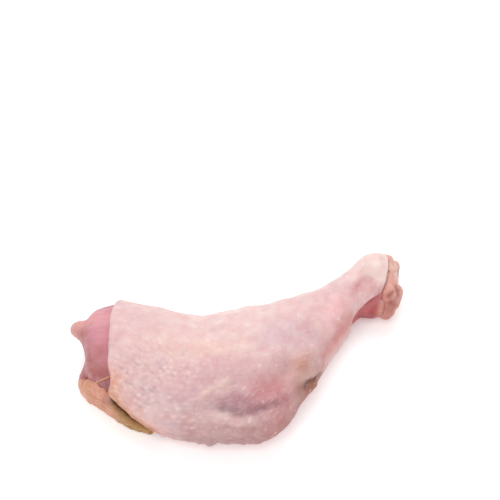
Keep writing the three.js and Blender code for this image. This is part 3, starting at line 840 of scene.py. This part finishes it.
class Finish:
    """A moist material that starts from the mesh's tint and gets mottling, grain and gloss from nodes."""

    SPECULAR = 0.28
    SCATTERED = 0.2
    NOISE_ROUGHNESS = 0.55
    NOISE_SPAN = (0.3, 0.7)
    GLOSS_DETAIL = 3
    # A mix node's sockets for colours share their names with those for numbers, so they go by place.
    MIX_SHARE = 0
    MIX_FIRST = 6
    MIX_SECOND = 7
    MIX_RESULT = 2

    def __init__(self, name, scatter, spread, coat, dullness):
        self.material = bpy.data.materials.new(name)
        self.material.use_nodes = True
        self.nodes = self.material.node_tree.nodes
        self.links = self.material.node_tree.links
        self.shader = self.nodes["Principled BSDF"]
        sockets = {
            "Specular IOR Level": self.SPECULAR,
            "Subsurface Weight": self.SCATTERED,
            "Subsurface Radius": spread,
            "Subsurface Scale": scatter * MM,
            "Coat Weight": coat,
            "Coat Roughness": dullness,
        }
        self.wire(self.shader, sockets)
        self.place = self.node("TexCoord", {}).outputs["Object"]
        self.tint = self.attribute("tint", "Color")
        self.normal = None

    def wire(self, node, sockets):
        """Sets a node's sockets to fixed values, or links them to other nodes' sockets."""
        for key, value in sockets.items():
            if isinstance(value, NodeSocket):
                self.links.new(value, node.inputs[key])
            elif value is not None:
                node.inputs[key].default_value = value

    def node(self, kind, sockets, **choices):
        made = self.nodes.new("ShaderNode" + kind)
        for key, choice in choices.items():
            setattr(made, key, choice)
        self.wire(made, sockets)
        return made

    def attribute(self, name, output):
        return self.node("Attribute", {}, attribute_name=name).outputs[output]

    def noise(self, size, detail, place=None):
        """Noise in lumps of a size in millimetres."""
        sockets = {"Scale": 1 / (size * MM), "Detail": detail, "Roughness": self.NOISE_ROUGHNESS}
        return self.node("TexNoise", {**sockets, "Vector": place or self.place}).outputs["Fac"]

    def cells(self, size):
        return self.node("TexVoronoi", {"Scale": 1 / (size * MM), "Vector": self.place}).outputs["Distance"]

    def ranged(self, value, low, high, span=NOISE_SPAN):
        sockets = {"From Min": span[0], "From Max": span[1], "To Min": low, "To Max": high}
        return self.node("MapRange", {**sockets, "Value": value}).outputs["Result"]

    def mottle(self, noise, most, colour, mode="MIX", span=NOISE_SPAN):
        """Mixes a colour into the tint where noise is high."""
        share = self.ranged(noise, 0, most, span)
        sockets = {self.MIX_SHARE: share, self.MIX_FIRST: self.tint, self.MIX_SECOND: (*colour, 1)}
        mix = self.node("Mix", sockets, data_type="RGBA", blend_type=mode)
        self.tint = mix.outputs[self.MIX_RESULT]

    def bump(self, height, depth, strength):
        """Lays bumps over those that are there."""
        sockets = {"Strength": strength, "Distance": depth * MM, "Height": height, "Normal": self.normal}
        self.normal = self.node("Bump", sockets).outputs["Normal"]

    def glossed(self, size, low, high):
        """The material, with its roughness uneven between two values."""
        roughness = self.ranged(self.noise(size, self.GLOSS_DETAIL), low, high)
        self.wire(self.shader, {"Base Color": self.tint, "Roughness": roughness, "Normal": self.normal})
        return self.material


def skin_finish(look):
    """Thin moist skin: mottled pink, with pores and a fine crinkle between the goose pimples."""
    finish = Finish("moist skin", scatter=1.0, spread=(1.0, 0.42, 0.34), coat=0.08, dullness=0.3)
    finish.mottle(finish.noise(size=7.5, detail=4), most=0.6, colour=look.flush, mode="MULTIPLY")
    finish.mottle(finish.noise(size=1.8, detail=3), most=0.3, colour=look.fleck, span=(0.6, 0.76))
    finish.bump(finish.noise(size=1.2, detail=5), depth=0.4, strength=0.6)
    finish.bump(finish.cells(size=0.8), depth=0.12, strength=0.5)
    return finish.glossed(size=2.4, low=0.36, high=0.58)


def meat_finish(look):
    """Moist muscle under its thin membrane, streaked along the fibres."""
    finish = Finish("moist muscle", scatter=1.6, spread=(1.0, 0.3, 0.24), coat=0.06, dullness=0.3)
    grain = finish.attribute("grain", "Vector")
    streaks = finish.noise(size=1.5, detail=4, place=grain)
    finish.mottle(streaks, most=0.32, colour=look.fibre, mode="MULTIPLY")
    finish.mottle(finish.noise(size=7, detail=4), most=0.3, colour=look.membrane)
    finish.bump(finish.noise(size=0.9, detail=4, place=grain), depth=0.16, strength=0.4)
    finish.bump(finish.noise(size=1.6, detail=4), depth=0.18, strength=0.4)
    return finish.glossed(size=4, low=0.38, high=0.58)


def knuckle_finish(look):
    """Gristle and bone: waxy, mottled and finely pitted."""
    finish = Finish("gristle and bone", scatter=1.4, spread=(1.0, 0.45, 0.35), coat=0.2, dullness=0.22)
    finish.mottle(finish.noise(size=2.6, detail=4), most=0.7, colour=look.gristle_shade, mode="MULTIPLY")
    finish.bump(finish.noise(size=1.4, detail=4), depth=0.2, strength=0.4)
    return finish.glossed(size=2.2, low=0.32, high=0.52)


def fat_finish(look):
    """Soft fat in lobules under a thin wet film."""
    finish = Finish("soft fat", scatter=1.8, spread=(1.0, 0.55, 0.36), coat=0.15, dullness=0.24)
    finish.mottle(finish.noise(size=3.0, detail=4), most=0.7, colour=look.fat_shade, mode="MULTIPLY")
    finish.bump(finish.noise(size=2.2, detail=3), depth=0.15, strength=0.3)
    return finish.glossed(size=2.6, low=0.32, high=0.5)


def colour(name, description, red, green, blue):
    shade = linear(red, green, blue)
    return FloatVectorProperty(
        name=name, description=description, subtype="COLOR", size=3, min=0, max=1, default=shade
    )


def number(name, description, default, unit="NONE"):
    return FloatProperty(name=name, description=description, unit=unit, min=0, default=default)


def length(name, description, millimetres):
    return number(name, description, millimetres * MM, "LENGTH")


class LegSkinSettings(PropertyGroup):
    """Sizes and colours of the skin."""

    pale: colour("Pale skin", "Colour of most of the skin", 229, 198, 195)
    # Also painted as a highlight on the roll just under the knee crease.
    bright: colour("Bright skin", "Taut skin over the back of the leg", 240, 216, 210)
    lavender: colour("Lavender", "Skin with dark flesh close under it", 208, 180, 189)
    # Painted shade: mauve darkening in the hollow beside the knee, low on the roll and in the roll's
    # groove.
    mauve: colour("Mauve", "Skin in the hollow beside the knee", 158, 110, 122)
    # Painted shade in the bottom of the knee crease.
    crease_shade_purple: colour("Purple", "Bottom of the crease beside the knee", 116, 74, 86)
    rose: colour("Rose", "Bruised patch over the knee", 198, 128, 131)
    tan: colour("Tan", "Thin fat showing through beside the knee", 200, 148, 126)
    # Painted shade: darker skin on the roll's lower, near side.
    shade: colour("Loose skin", "Loose skin of the roll on the board", 188, 148, 144)
    # Flushed skin; over the middle of the thigh it is also darker as painted shade.
    pink: colour("Pink", "Flushed skin over the middle of the thigh", 212, 170, 174)
    umber: colour("Umber", "Thin skin round the notch beside the knee", 172, 126, 106)
    # Rose-brown skin, darkened as painted shade along the lower edge beside the knee.
    russet_edge_shade: colour("Russet", "Edge of the roll beside the knee", 172, 114, 106)
    # Painted shade where the skin comes down to the board.
    board_shade: colour("Dusk", "Skin that lies on the board", 176, 140, 142)
    # Pinker skin, with painted light on the shank where the lamps leave it in shade.
    taut: colour("Taut skin", "Pink skin stretched over the shank", 250, 204, 204)
    # Brown skin with painted shade in the recess of the notch beside the knee.
    brown: colour("Brown", "Bottom of the notch beside the knee", 108, 66, 34)
    cream: colour("Cream", "Fat showing through taut skin", 240, 210, 194)
    hem: colour("Hem", "Cut edge and inside of the skin", 230, 172, 148)
    blush: colour("Blush", "Thin skin along the lower edge of the shank", 222, 138, 132)
    ochre: colour("Ochre", "Fat along the hip's hem", 200, 146, 104)
    grey: colour("Grey", "Streaks near the hem", 184, 160, 158)
    flush: colour("Flush", "Mottling multiplied over the skin", 238, 206, 211)
    fleck: colour("Fleck", "Pale flecks of fat under the skin", 248, 230, 222)
    thickness: length("Thickness", "Thickness of the skin at its hems", 1.8)
    pimple_height: length("Pimple height", "Height of the goose pimples", 0.65)
    pimple_spacing: length("Pimple spacing", "Distance between goose pimples", 4.2)
    crinkle_height: length("Crinkle height", "Height of the fine crinkle", 0.26)


class LegMeatSettings(PropertyGroup):
    """Sizes and colours of the bare meat."""

    mauve: colour("Muscle", "Muscle under its membrane", 188, 118, 132)
    # Pink muscle with a painted highlight at the top of the cut hip.
    pink: colour("Pink muscle", "Muscle at the top of the cut hip", 226, 158, 166)
    # Rose muscle with painted shade low on the cut hip and along its left edge.
    rose: colour("Rose muscle", "Muscle low at the cut hip", 170, 94, 82)
    stump: colour("Stump", "Pale end of the hip muscle", 232, 182, 156)
    red: colour("Red meat", "Meat that shows at the hock", 176, 46, 30)
    # Painted shadow: dark red along the lower edge of the bare meat at the hock.
    blood: colour("Blood", "Dark edge of the meat at the hock", 112, 34, 30)
    underneath: colour("Inner thigh", "Bare meat that lies on the board", 206, 138, 136)
    fat: colour("Seam fat", "Fat in the seams between muscles", 232, 198, 172)
    gristle: colour("Gristle", "Collar of gristle round the knuckle", 224, 180, 160)
    # Painted shade in the gap between the skin's hem and the fat flap.
    brown: colour("Brown", "Dark gap over the flap of fat", 124, 50, 30)
    fibre: colour("Fibre", "Darker fibres multiplied over the meat", 228, 198, 198)
    membrane: colour("Membrane", "Pale membrane over the fibres", 222, 172, 182)
    fibre_height: length("Fibre height", "Height of the fibres", 0.14)
    bundle_height: length("Bundle height", "Height of the bundles of fibres", 0.4)


class LegKnuckleSettings(PropertyGroup):
    """Sizes and colours of the knuckle at the hock."""

    gristle: colour("Gristle", "Gristle round the knuckle", 234, 182, 170)
    pale: colour("Pale gristle", "Gristle on the knuckle's crown", 242, 210, 198)
    cartilage: colour("Cartilage", "Smooth end of the joint", 206, 194, 192)
    marrow: colour("Marrow", "Red-brown marrow and blood", 150, 58, 48)
    gristle_shade: colour("Gristle shade", "Mottling multiplied over it", 230, 192, 184)
    lump_height: length("Lump height", "Height of the gristle's lumps", 0.6)


class LegFatSettings(PropertyGroup):
    """Sizes and colours of the flap of fat."""

    salmon: colour("Salmon fat", "Fat at the hip end", 218, 164, 138)
    blush: colour("Blush", "Pink membrane over the fat", 232, 168, 158)
    rose: colour("Rose", "Shred of muscle on the flap's end", 186, 120, 108)
    olive: colour("Olive skin", "Trimmed skin that lies flat", 182, 140, 86)
    brown: colour("Brown", "Where the flap goes under the thigh", 128, 88, 58)
    mauve: colour("Mauve", "Shred of membrane on the fat", 188, 132, 134)
    # Painted shade in the gap under the hem of the skin.
    gap: colour("Gap", "Dark gap under the hem of the skin", 84, 50, 24)
    fat_shade: colour("Fat shade", "Mottling multiplied over it", 232, 200, 182)
    lobule_height: length("Lobule height", "Height of the lobules", 0.7)


class LegStageSettings(PropertyGroup):
    """Floor and lights."""

    floor: colour("Floor", "Colour of the floor", 252, 252, 252)
    key: number("Key light", "Power of the soft light overhead", 6.0, "POWER")
    fill: number("Fill light", "Power of the light from the camera's side", 5.8, "POWER")
    glow: number("Floor glow", "Light from the white floor itself", 0.22)
    sky: number("Sky", "Strength of the even white light from all round", 0.55)


class CHICKENLEG_OT_skin(Operator):
    """Make the skin sleeve with its goose pimples, folds and rolled hems"""

    bl_idname = "chickenleg.skin"
    bl_label = "Skin"

    UNEVENNESS = 0.4
    UNEVENNESS_LENGTH = 8
    STRAY = (2.4, 7)
    PIMPLE_PALENESS = 0.75
    HEM_STRENGTH = 0.9
    ROLL_STRENGTH = 0.7
    PINKER = Mottle("flush", 0.4, 16, 3, 0, -0.2, 0.7)
    COOLER = Mottle("lavender", 0.5, 11, 3, 50, 0.0, 0.8)
    STREAKS = Mottle("grey", 0.5, 2.2, 2, 33, 0.15, 0.6)
    SPECKS = Mottle("fleck", 0.5, 2.4, 1, 90, 0.45, 0.8)
    STREAKED_THIGH = 0.6

    def execute(self, context):
        look = context.scene.leg_skin
        grid = skin_grid()
        normals = grid_normals(grid)
        middle = grid.mean(axis=1, keepdims=True)
        if ((grid - middle) * normals).sum() < 0:
            normals = -normals
        top = int(np.argmin(np.abs(wrap(skin_angles()) - TOP_ANGLE)))
        distances = (round_distances(grid, top), *edge_distances(grid))
        flat = grid.reshape(-1, 3)
        rise, pimple = skin_relief(flat, *(distance.ravel() for distance in distances), look)
        outer = grid + normals * rise.reshape(SKIN_ROWS, SKIN_COLUMNS, 1)
        rows, inside = self.closed_rows(outer, grid, normals, look)
        piece = grid_mesh("skin_sleeve", rows, closed_rows=True)
        colours = self.colours(rows.reshape(-1, 3), look)
        unpimpled = np.zeros(len(colours) - len(pimple))
        colours = mixed(colours, look.fleck, self.PIMPLE_PALENESS * np.concatenate([pimple, unpimpled]))
        paint(piece, mixed(colours, look.hem, self.HEM_STRENGTH * inside))
        finished(piece, "skin", skin_finish(look))
        return {"FINISHED"}

    def closed_rows(self, outer, smooth, normals, look):
        """Rows over the outside, round the hock hem, back along the inside and round the hip hem."""
        uneven = Noise(22).layered(smooth.reshape(-1, 3), self.UNEVENNESS_LENGTH, 2)
        uneven = 1 + self.UNEVENNESS * uneven.reshape(SKIN_ROWS, SKIN_COLUMNS, 1)
        inner = smooth - normals * (look.thickness / MM * uneven)
        hock = self.roll(outer[-1], inner[-1], outer[-1] - outer[-3])
        hip = self.roll(inner[0], outer[0], outer[0] - outer[2])
        inner = inner[::SKIN_INNER_EVERY][::-1]
        shown = ((outer, 0), (hock, self.ROLL_STRENGTH), (inner, 1), (hip, self.ROLL_STRENGTH))
        rows = np.concatenate([part for part, _ in shown])
        inside = np.concatenate([np.full(len(part), share) for part, share in shown])
        return rows, np.repeat(inside, SKIN_COLUMNS)

    def roll(self, start, end, outward):
        """Rows of a rounded edge from one face of the skin to the other."""
        middle = (start + end) / 2
        half = (start - end) / 2
        size = np.linalg.norm(half, axis=1, keepdims=True)
        ahead = normalised(outward) * size
        turns = np.linspace(0, math.pi, SKIN_ROLL_STEPS + 2)[1:-1]
        return np.stack([middle + half * math.cos(turn) + ahead * math.sin(turn) for turn in turns])

    def colours(self, points, look):
        lumps = Noise(21)
        colours = plain(points, look.pale)
        for mottle in (self.PINKER, self.COOLER):
            colours = mottled(colours, points, lumps, mottle, look)
        uneven = strayed(points, Noise(23), *self.STRAY)
        colours = patched(colours, uneven, SKIN_PATCHES, look)
        colours = stained(colours, uneven, SKIN_STAINS, look)
        creped = nearness(points, CREPED_HEM) + self.STREAKED_THIGH * nearness(points, PIMPLED_THIGH)
        creped = np.minimum(creped, 1)
        colours = mottled(colours, crepe_grain(points), lumps, self.STREAKS, look, creped)
        return mottled(colours, points, lumps, self.SPECKS, look)


class CHICKENLEG_OT_meat(Operator):
    """Make the meat with its fibres, muscle seams, tendons and the stump at the hip"""

    bl_idname = "chickenleg.meat"
    bl_label = "Meat"

    VOXEL = 0.85 * MM
    SMOOTHING = 6
    ALONG_GRAIN = 0.11
    STUMP_NECK = Spot((-89, -6, 17), 12, 15, 0)
    STUMP_TIP = (-103, -98)
    STUMP_SMOOTHING = 60
    STUMP_SWELLS = [Swell((-92.5, -8, 17), 6, 8, 0, -2.0), Swell((-92, 11, 24), 5, 6, 0, -1.6)]
    HOCK_SWELLS = [Swell(*BARE_HOCK, 0.9), Swell((91, 57, 28), 8, 8, 0, 2.2)]
    TENDON_WIDTH = 1.6
    TENDON_HEIGHT = 0.4
    UNDERSIDE = (1, 7)
    SEAM_SPACING = 15
    SEAM_WIDTH = 0.09
    SEAM_DEPTH = 0.5
    SEAM_FAT = 0.6
    FIBRE = 1.8
    BUNDLE = 7
    BARE = (0.7, 3.0)
    STRAY = (3.0, 8)
    PALE = Mottle("membrane", 0.25, 9, 3, 63, 0.0, 0.9)

    def execute(self, context):
        look = context.scene.leg_meat
        piece, points, normals = evened("meat", "leg_meat", self.VOXEL, self.SMOOTHING, STUMP_LOBES)
        neck = nearness(points, self.STUMP_NECK) * smoothstep(points[:, 0], *self.STUMP_TIP)
        for swell in self.STUMP_SWELLS:
            points = points + normals * swollen(points, [swell])[:, None]
        points = relaxed(piece, points, neck, self.STUMP_SMOOTHING)
        travelled, offset = along_the_leg(points)
        grain = np.stack([travelled * self.ALONG_GRAIN, offset, points[:, 2]], -1)
        bundles = Noise(31)
        underneath = 1 - smoothstep(points[:, 2], *self.UNDERSIDE)
        seam = 1 - smoothstep(np.abs(bundles.at(grain + 7, self.SEAM_SPACING)), 0, self.SEAM_WIDTH)
        seam = seam * underneath
        rise = look.fibre_height / MM * bundles.layered(grain, self.FIBRE, 2)
        rise = rise + look.bundle_height / MM * bundles.layered(grain + 31, self.BUNDLE, 2)
        rise = (rise - self.SEAM_DEPTH * seam) * self.bareness(points)
        rise = rise + swollen(points, self.HOCK_SWELLS)
        for path in TENDONS:
            rise = rise + fold_rise(points, Fold(path, self.TENDON_WIDTH, self.TENDON_HEIGHT, 0), 0)
        shaped = points + normals * rise[:, None]
        shaped[:, 2] = np.maximum(shaped[:, 2], 0)
        reshape(piece, shaped)
        keep_grain(piece, grain * MM)
        uneven = strayed(points, Noise(32), *self.STRAY)
        colours = patched(plain(points, look.mauve), uneven, MEAT_PATCHES, look)
        colours = mottled(colours, grain, bundles, self.PALE, look)
        colours = mixed(colours, look.fat, self.SEAM_FAT * seam)
        paint(piece, stained(colours, points, MEAT_STAINS, look))
        finished(piece, "meat", meat_finish(look))
        return {"FINISHED"}

    def bareness(self, points):
        """1 where no skin covers the meat, fading to 0 under the skin."""
        skin = SkinRays().tree
        gaps = np.array([skin.find_nearest(Vector(point) * MM)[3] for point in points]) / MM
        return smoothstep(gaps, *self.BARE)


class CHICKENLEG_OT_knuckle(Operator):
    """Make the drumstick bone with its knuckle of gristle at the hock"""

    bl_idname = "chickenleg.knuckle"
    bl_label = "Knuckle"

    VOXEL = 0.5 * MM
    SMOOTHING = 18
    OUTSIDE = (88, 93)
    LUMP = 6.5
    SWELLS = [Swell((101, 57, 23), 6, 6, 0, -1.4), Swell((103, 37, 14), 6, 10, 0, -1.9)]
    STRAY = (1.2, 4)
    BLOOD_SPOTS = Mottle("marrow", 0.5, 5, 3, 40, 0.3, 0.9)
    COLLAR_MIDDLE = (93.2, 49.5, 17.2)
    COLLAR_HALF_WIDTH = 12.6
    COLLAR_HALF_HEIGHT = 8.6
    COLLAR_LOBE_RADIUS = 4.4
    COLLAR_LOBES = 24
    COLLAR_UNEVENNESS = 0.25

    def execute(self, context):
        look = context.scene.leg_knuckle
        lobes = [*KNUCKLE_LOBES, *self.collar()]
        piece, points, normals = evened("drumstick_bone", "hock_knuckle", self.VOXEL, self.SMOOTHING, lobes)
        lumps = Noise(41)
        out = smoothstep(points[:, 0], *self.OUTSIDE)
        rise = look.lump_height / MM * lumps.layered(points, self.LUMP, 2) * out
        rise = rise + swollen(points, self.SWELLS)
        reshape(piece, points + normals * rise[:, None])
        uneven = strayed(points, lumps, *self.STRAY)
        colours = patched(plain(points, look.gristle), uneven, KNUCKLE_PATCHES, look)
        colours = stained(colours, uneven, KNUCKLE_STAINS, look)
        paint(piece, mottled(colours, points, lumps, self.BLOOD_SPOTS, look))
        finished(piece, "drumstick_bone", knuckle_finish(look))
        return {"FINISHED"}

    def collar(self):
        """Lumps of gristle in a ring between the knuckle and the rim of the skin."""
        x, y, z = self.COLLAR_MIDDLE
        turns = np.linspace(0, 2 * math.pi, self.COLLAR_LOBES, endpoint=False)
        draws = np.random.default_rng(43).uniform(-1, 1, self.COLLAR_LOBES)
        sizes = 1 + self.COLLAR_UNEVENNESS * draws
        across = y + self.COLLAR_HALF_WIDTH * np.cos(turns)
        above = z + self.COLLAR_HALF_HEIGHT * np.sin(turns)
        return np.stack([x + sizes, across, above, self.COLLAR_LOBE_RADIUS * sizes], -1).tolist()


class CHICKENLEG_OT_fat(Operator):
    """Make the flap of trimmed fat and skin, with the strand of membrane that holds it"""

    bl_idname = "chickenleg.fat"
    bl_label = "Fat flap"

    VOXEL = 0.5 * MM
    SMOOTHING = 22
    FATTY = (-78, -66)
    LOBULE = 5.5
    SMOOTHEST = 0.45
    MUSCLE = (-23, -19)
    MUSCLE_SLANT = 0.6
    MUSCLE_LEVEL = 8
    MUSCLE_STRENGTH = 0.9
    TUCKED_EDGE = Spot((-83, -42, 2), 16, 7, -32)
    TUCK = (1.2, 2.9, 0)
    BLUSHED = Mottle("blush", 0.6, 9, 3, 60, -0.1, 0.7)
    BROWNED = Mottle("brown", 0.25, 6, 3, 30, 0.1, 0.9)
    SHREDS = [Patch((-78.6, -41.6, 14.6), 3, 2.4, -40, "mauve", 0.6)]
    STRAND_PATH = [(-87.2, -27.6, 13), (-84.4, -29.4, 17), (-79.8, -31, 22.4), (-73.4, -31, 26.6)]
    STRAND_RADII = (2.6, 0.95, 0.5, 1.2)
    STRAND_THICKNESS = 0.5
    STRAND_UNEVENNESS = 0.35
    STRAND_LUMP = 3
    STRAND_ROWS = 60
    STRAND_COLUMNS = 18

    def execute(self, context):
        look = context.scene.leg_fat
        piece, points, normals = evened("fat_flap", "fat_lobes", self.VOXEL, self.SMOOTHING, FAT_LOBES)
        material = fat_finish(look)
        fatty = 1 - smoothstep(points[:, 0], *self.FATTY)
        lobules = look.lobule_height / MM * Noise(51).layered(points, self.LOBULE, 2)
        rise = lobules * (self.SMOOTHEST + (1 - self.SMOOTHEST) * fatty)
        tucked = np.array(self.TUCK) * nearness(points, self.TUCKED_EDGE)[:, None]
        shaped = points + tucked + normals * rise[:, None]
        shaped[:, 2] = np.maximum(shaped[:, 2], 0)
        reshape(piece, shaped)
        paint(piece, self.colours(points, fatty, look))
        finished(piece, "fat_flap", material)
        rows = self.strand_rows()
        strand = grid_mesh("membrane_strand", rows, closed_rows=False)
        points = rows.reshape(-1, 3)
        paint(strand, self.colours(points, np.ones(len(points)), look))
        finished(strand, None, material)
        return {"FINISHED"}

    def colours(self, points, fatty, look):
        lumps = Noise(52)
        colours = mixed(plain(points, look.olive), look.salmon, fatty)
        colours = mottled(colours, points, lumps, self.BLUSHED, look, fatty)
        colours = mottled(colours, points, lumps, self.BROWNED, look)
        hipwards = points[:, 1] + self.MUSCLE_SLANT * (points[:, 2] - self.MUSCLE_LEVEL)
        colours = mixed(colours, look.rose, self.MUSCLE_STRENGTH * smoothstep(hipwards, *self.MUSCLE))
        colours = patched(colours, points, self.SHREDS, look)
        return stained(colours, points, FAT_STAINS, look)

    def strand_rows(self):
        """Rings of a lumpy string of membrane along its path, thinning between its ends."""
        corners = np.array(self.STRAND_PATH, float)
        places = np.linspace(0, len(corners) - 1, self.STRAND_ROWS)
        middle = np.stack([through(column, places) for column in corners.T], -1)
        size = through(np.array(self.STRAND_RADII), places)
        size = size * (1 + self.STRAND_UNEVENNESS * Noise(61).layered(middle, self.STRAND_LUMP, 2))
        thin = np.minimum(size, self.STRAND_THICKNESS)
        ahead = np.gradient(middle, axis=0)
        side = normalised(np.cross(ahead, (0, 0, 1)))
        above = normalised(np.cross(side, ahead))
        wide = side * thin[:, None]
        tall = above * size[:, None]
        turns = np.linspace(0, 2 * math.pi, self.STRAND_COLUMNS, endpoint=False)
        return np.stack([middle + wide * math.cos(turn) + tall * math.sin(turn) for turn in turns], axis=1)


class CHICKENLEG_OT_stage(Operator):
    """Make the camera, the floor and the soft studio light"""

    bl_idname = "chickenleg.stage"
    bl_label = "Stage"

    FLOOR_SIZE = 6.0
    FLOOR_BELOW = 0.0003
    FLOOR_ROUGHNESS = 0.7
    WHITE = (1, 1, 1, 1)
    KEY_PLACE = (0.0, 0.75, 0.85)
    KEY_SIZE = 1.1
    FILL_PLACE = (-0.2, -0.55, 1.1)
    FILL_SIZE = 1.0
    NEAREST_SEEN = 0.01

    def execute(self, context):
        look = context.scene.leg_stage
        scene = context.scene
        scene.view_settings.view_transform = "Standard"
        scene.view_settings.look = "None"
        scene.camera = self.camera()
        self.floor(look)
        self.light("key light", self.KEY_PLACE, self.KEY_SIZE, look.key)
        self.light("fill light", self.FILL_PLACE, self.FILL_SIZE, look.fill)
        scene.world = bpy.data.worlds.new("white room")
        scene.world.use_nodes = True
        sky = scene.world.node_tree.nodes["Background"]
        sky.inputs["Color"].default_value = self.WHITE
        sky.inputs["Strength"].default_value = look.sky
        return {"FINISHED"}

    def camera(self):
        pitch = math.radians(CAMERA_PITCH)
        ahead = Vector((0, math.cos(pitch), -math.sin(pitch)))
        above = Vector((0, math.sin(pitch), math.cos(pitch)))
        aside = Vector((1, 0, 0))
        ray = ahead + aside * ((AIM_PX[0] - IMAGE_PX / 2) / FOCAL_PX)
        ray -= above * ((AIM_PX[1] - IMAGE_PX / 2) / FOCAL_PX)
        data = bpy.data.cameras.new("camera")
        data.sensor_width = SENSOR
        data.lens = FOCAL_PX / IMAGE_PX * SENSOR
        data.clip_start = self.NEAREST_SEEN
        camera = linked("camera", data)
        camera.location = AIM_POINT - ray.normalized() * CAMERA_DISTANCE
        camera.rotation_euler = (math.pi / 2 - pitch, 0, 0)
        return camera

    def floor(self, look):
        half = self.FLOOR_SIZE / 2
        mesh = bpy.data.meshes.new("floor")
        corners = [(-half, -half), (half, -half), (half, half), (-half, half)]
        mesh.from_pydata([(x, y, -self.FLOOR_BELOW) for x, y in corners], [], [(0, 1, 2, 3)])
        material = bpy.data.materials.new("white board")
        material.use_nodes = True
        shader = material.node_tree.nodes["Principled BSDF"]
        shader.inputs["Base Color"].default_value = (*look.floor, 1)
        shader.inputs["Roughness"].default_value = self.FLOOR_ROUGHNESS
        shader.inputs["Emission Color"].default_value = self.WHITE
        shader.inputs["Emission Strength"].default_value = look.glow
        mesh.materials.append(material)
        floor = linked("floor", mesh)

    def light(self, name, place, size, power):
        data = bpy.data.lights.new(name, "AREA")
        data.shape = "DISK"
        data.size = size
        data.energy = power
        lamp = linked(name, data)
        lamp.location = place
        lamp.rotation_euler = Vector(place).to_track_quat("Z", "Y").to_euler()


PIECE_OPERATORS = (CHICKENLEG_OT_skin, CHICKENLEG_OT_meat, CHICKENLEG_OT_knuckle, CHICKENLEG_OT_fat)


class CHICKENLEG_PT_parts(Panel):
    """Lists the leg's pieces and its stage"""

    bl_label = "Chicken leg"
    bl_space_type = "VIEW_3D"
    bl_region_type = "UI"
    bl_category = "Chicken leg"

    def draw(self, context):
        for operator in (*PIECE_OPERATORS, CHICKENLEG_OT_stage):
            self.layout.operator(operator.bl_idname)


SETTINGS = {
    "leg_skin": LegSkinSettings,
    "leg_meat": LegMeatSettings,
    "leg_knuckle": LegKnuckleSettings,
    "leg_fat": LegFatSettings,
    "leg_stage": LegStageSettings,
}
CLASSES = (*SETTINGS.values(), *PIECE_OPERATORS, CHICKENLEG_OT_stage, CHICKENLEG_PT_parts)


def register():
    for part in CLASSES:
        bpy.utils.register_class(part)
    for name, group in SETTINGS.items():
        setattr(bpy.types.Scene, name, PointerProperty(type=group))


def unregister():
    for name in SETTINGS:
        delattr(bpy.types.Scene, name)
    for part in reversed(CLASSES):
        bpy.utils.unregister_class(part)


def main():
    register()
    bpy.ops.chickenleg.skin()
    bpy.ops.chickenleg.meat()
    bpy.ops.chickenleg.knuckle()
    bpy.ops.chickenleg.fat()
    bpy.ops.chickenleg.stage()


if __name__ == "__main__":
    main()
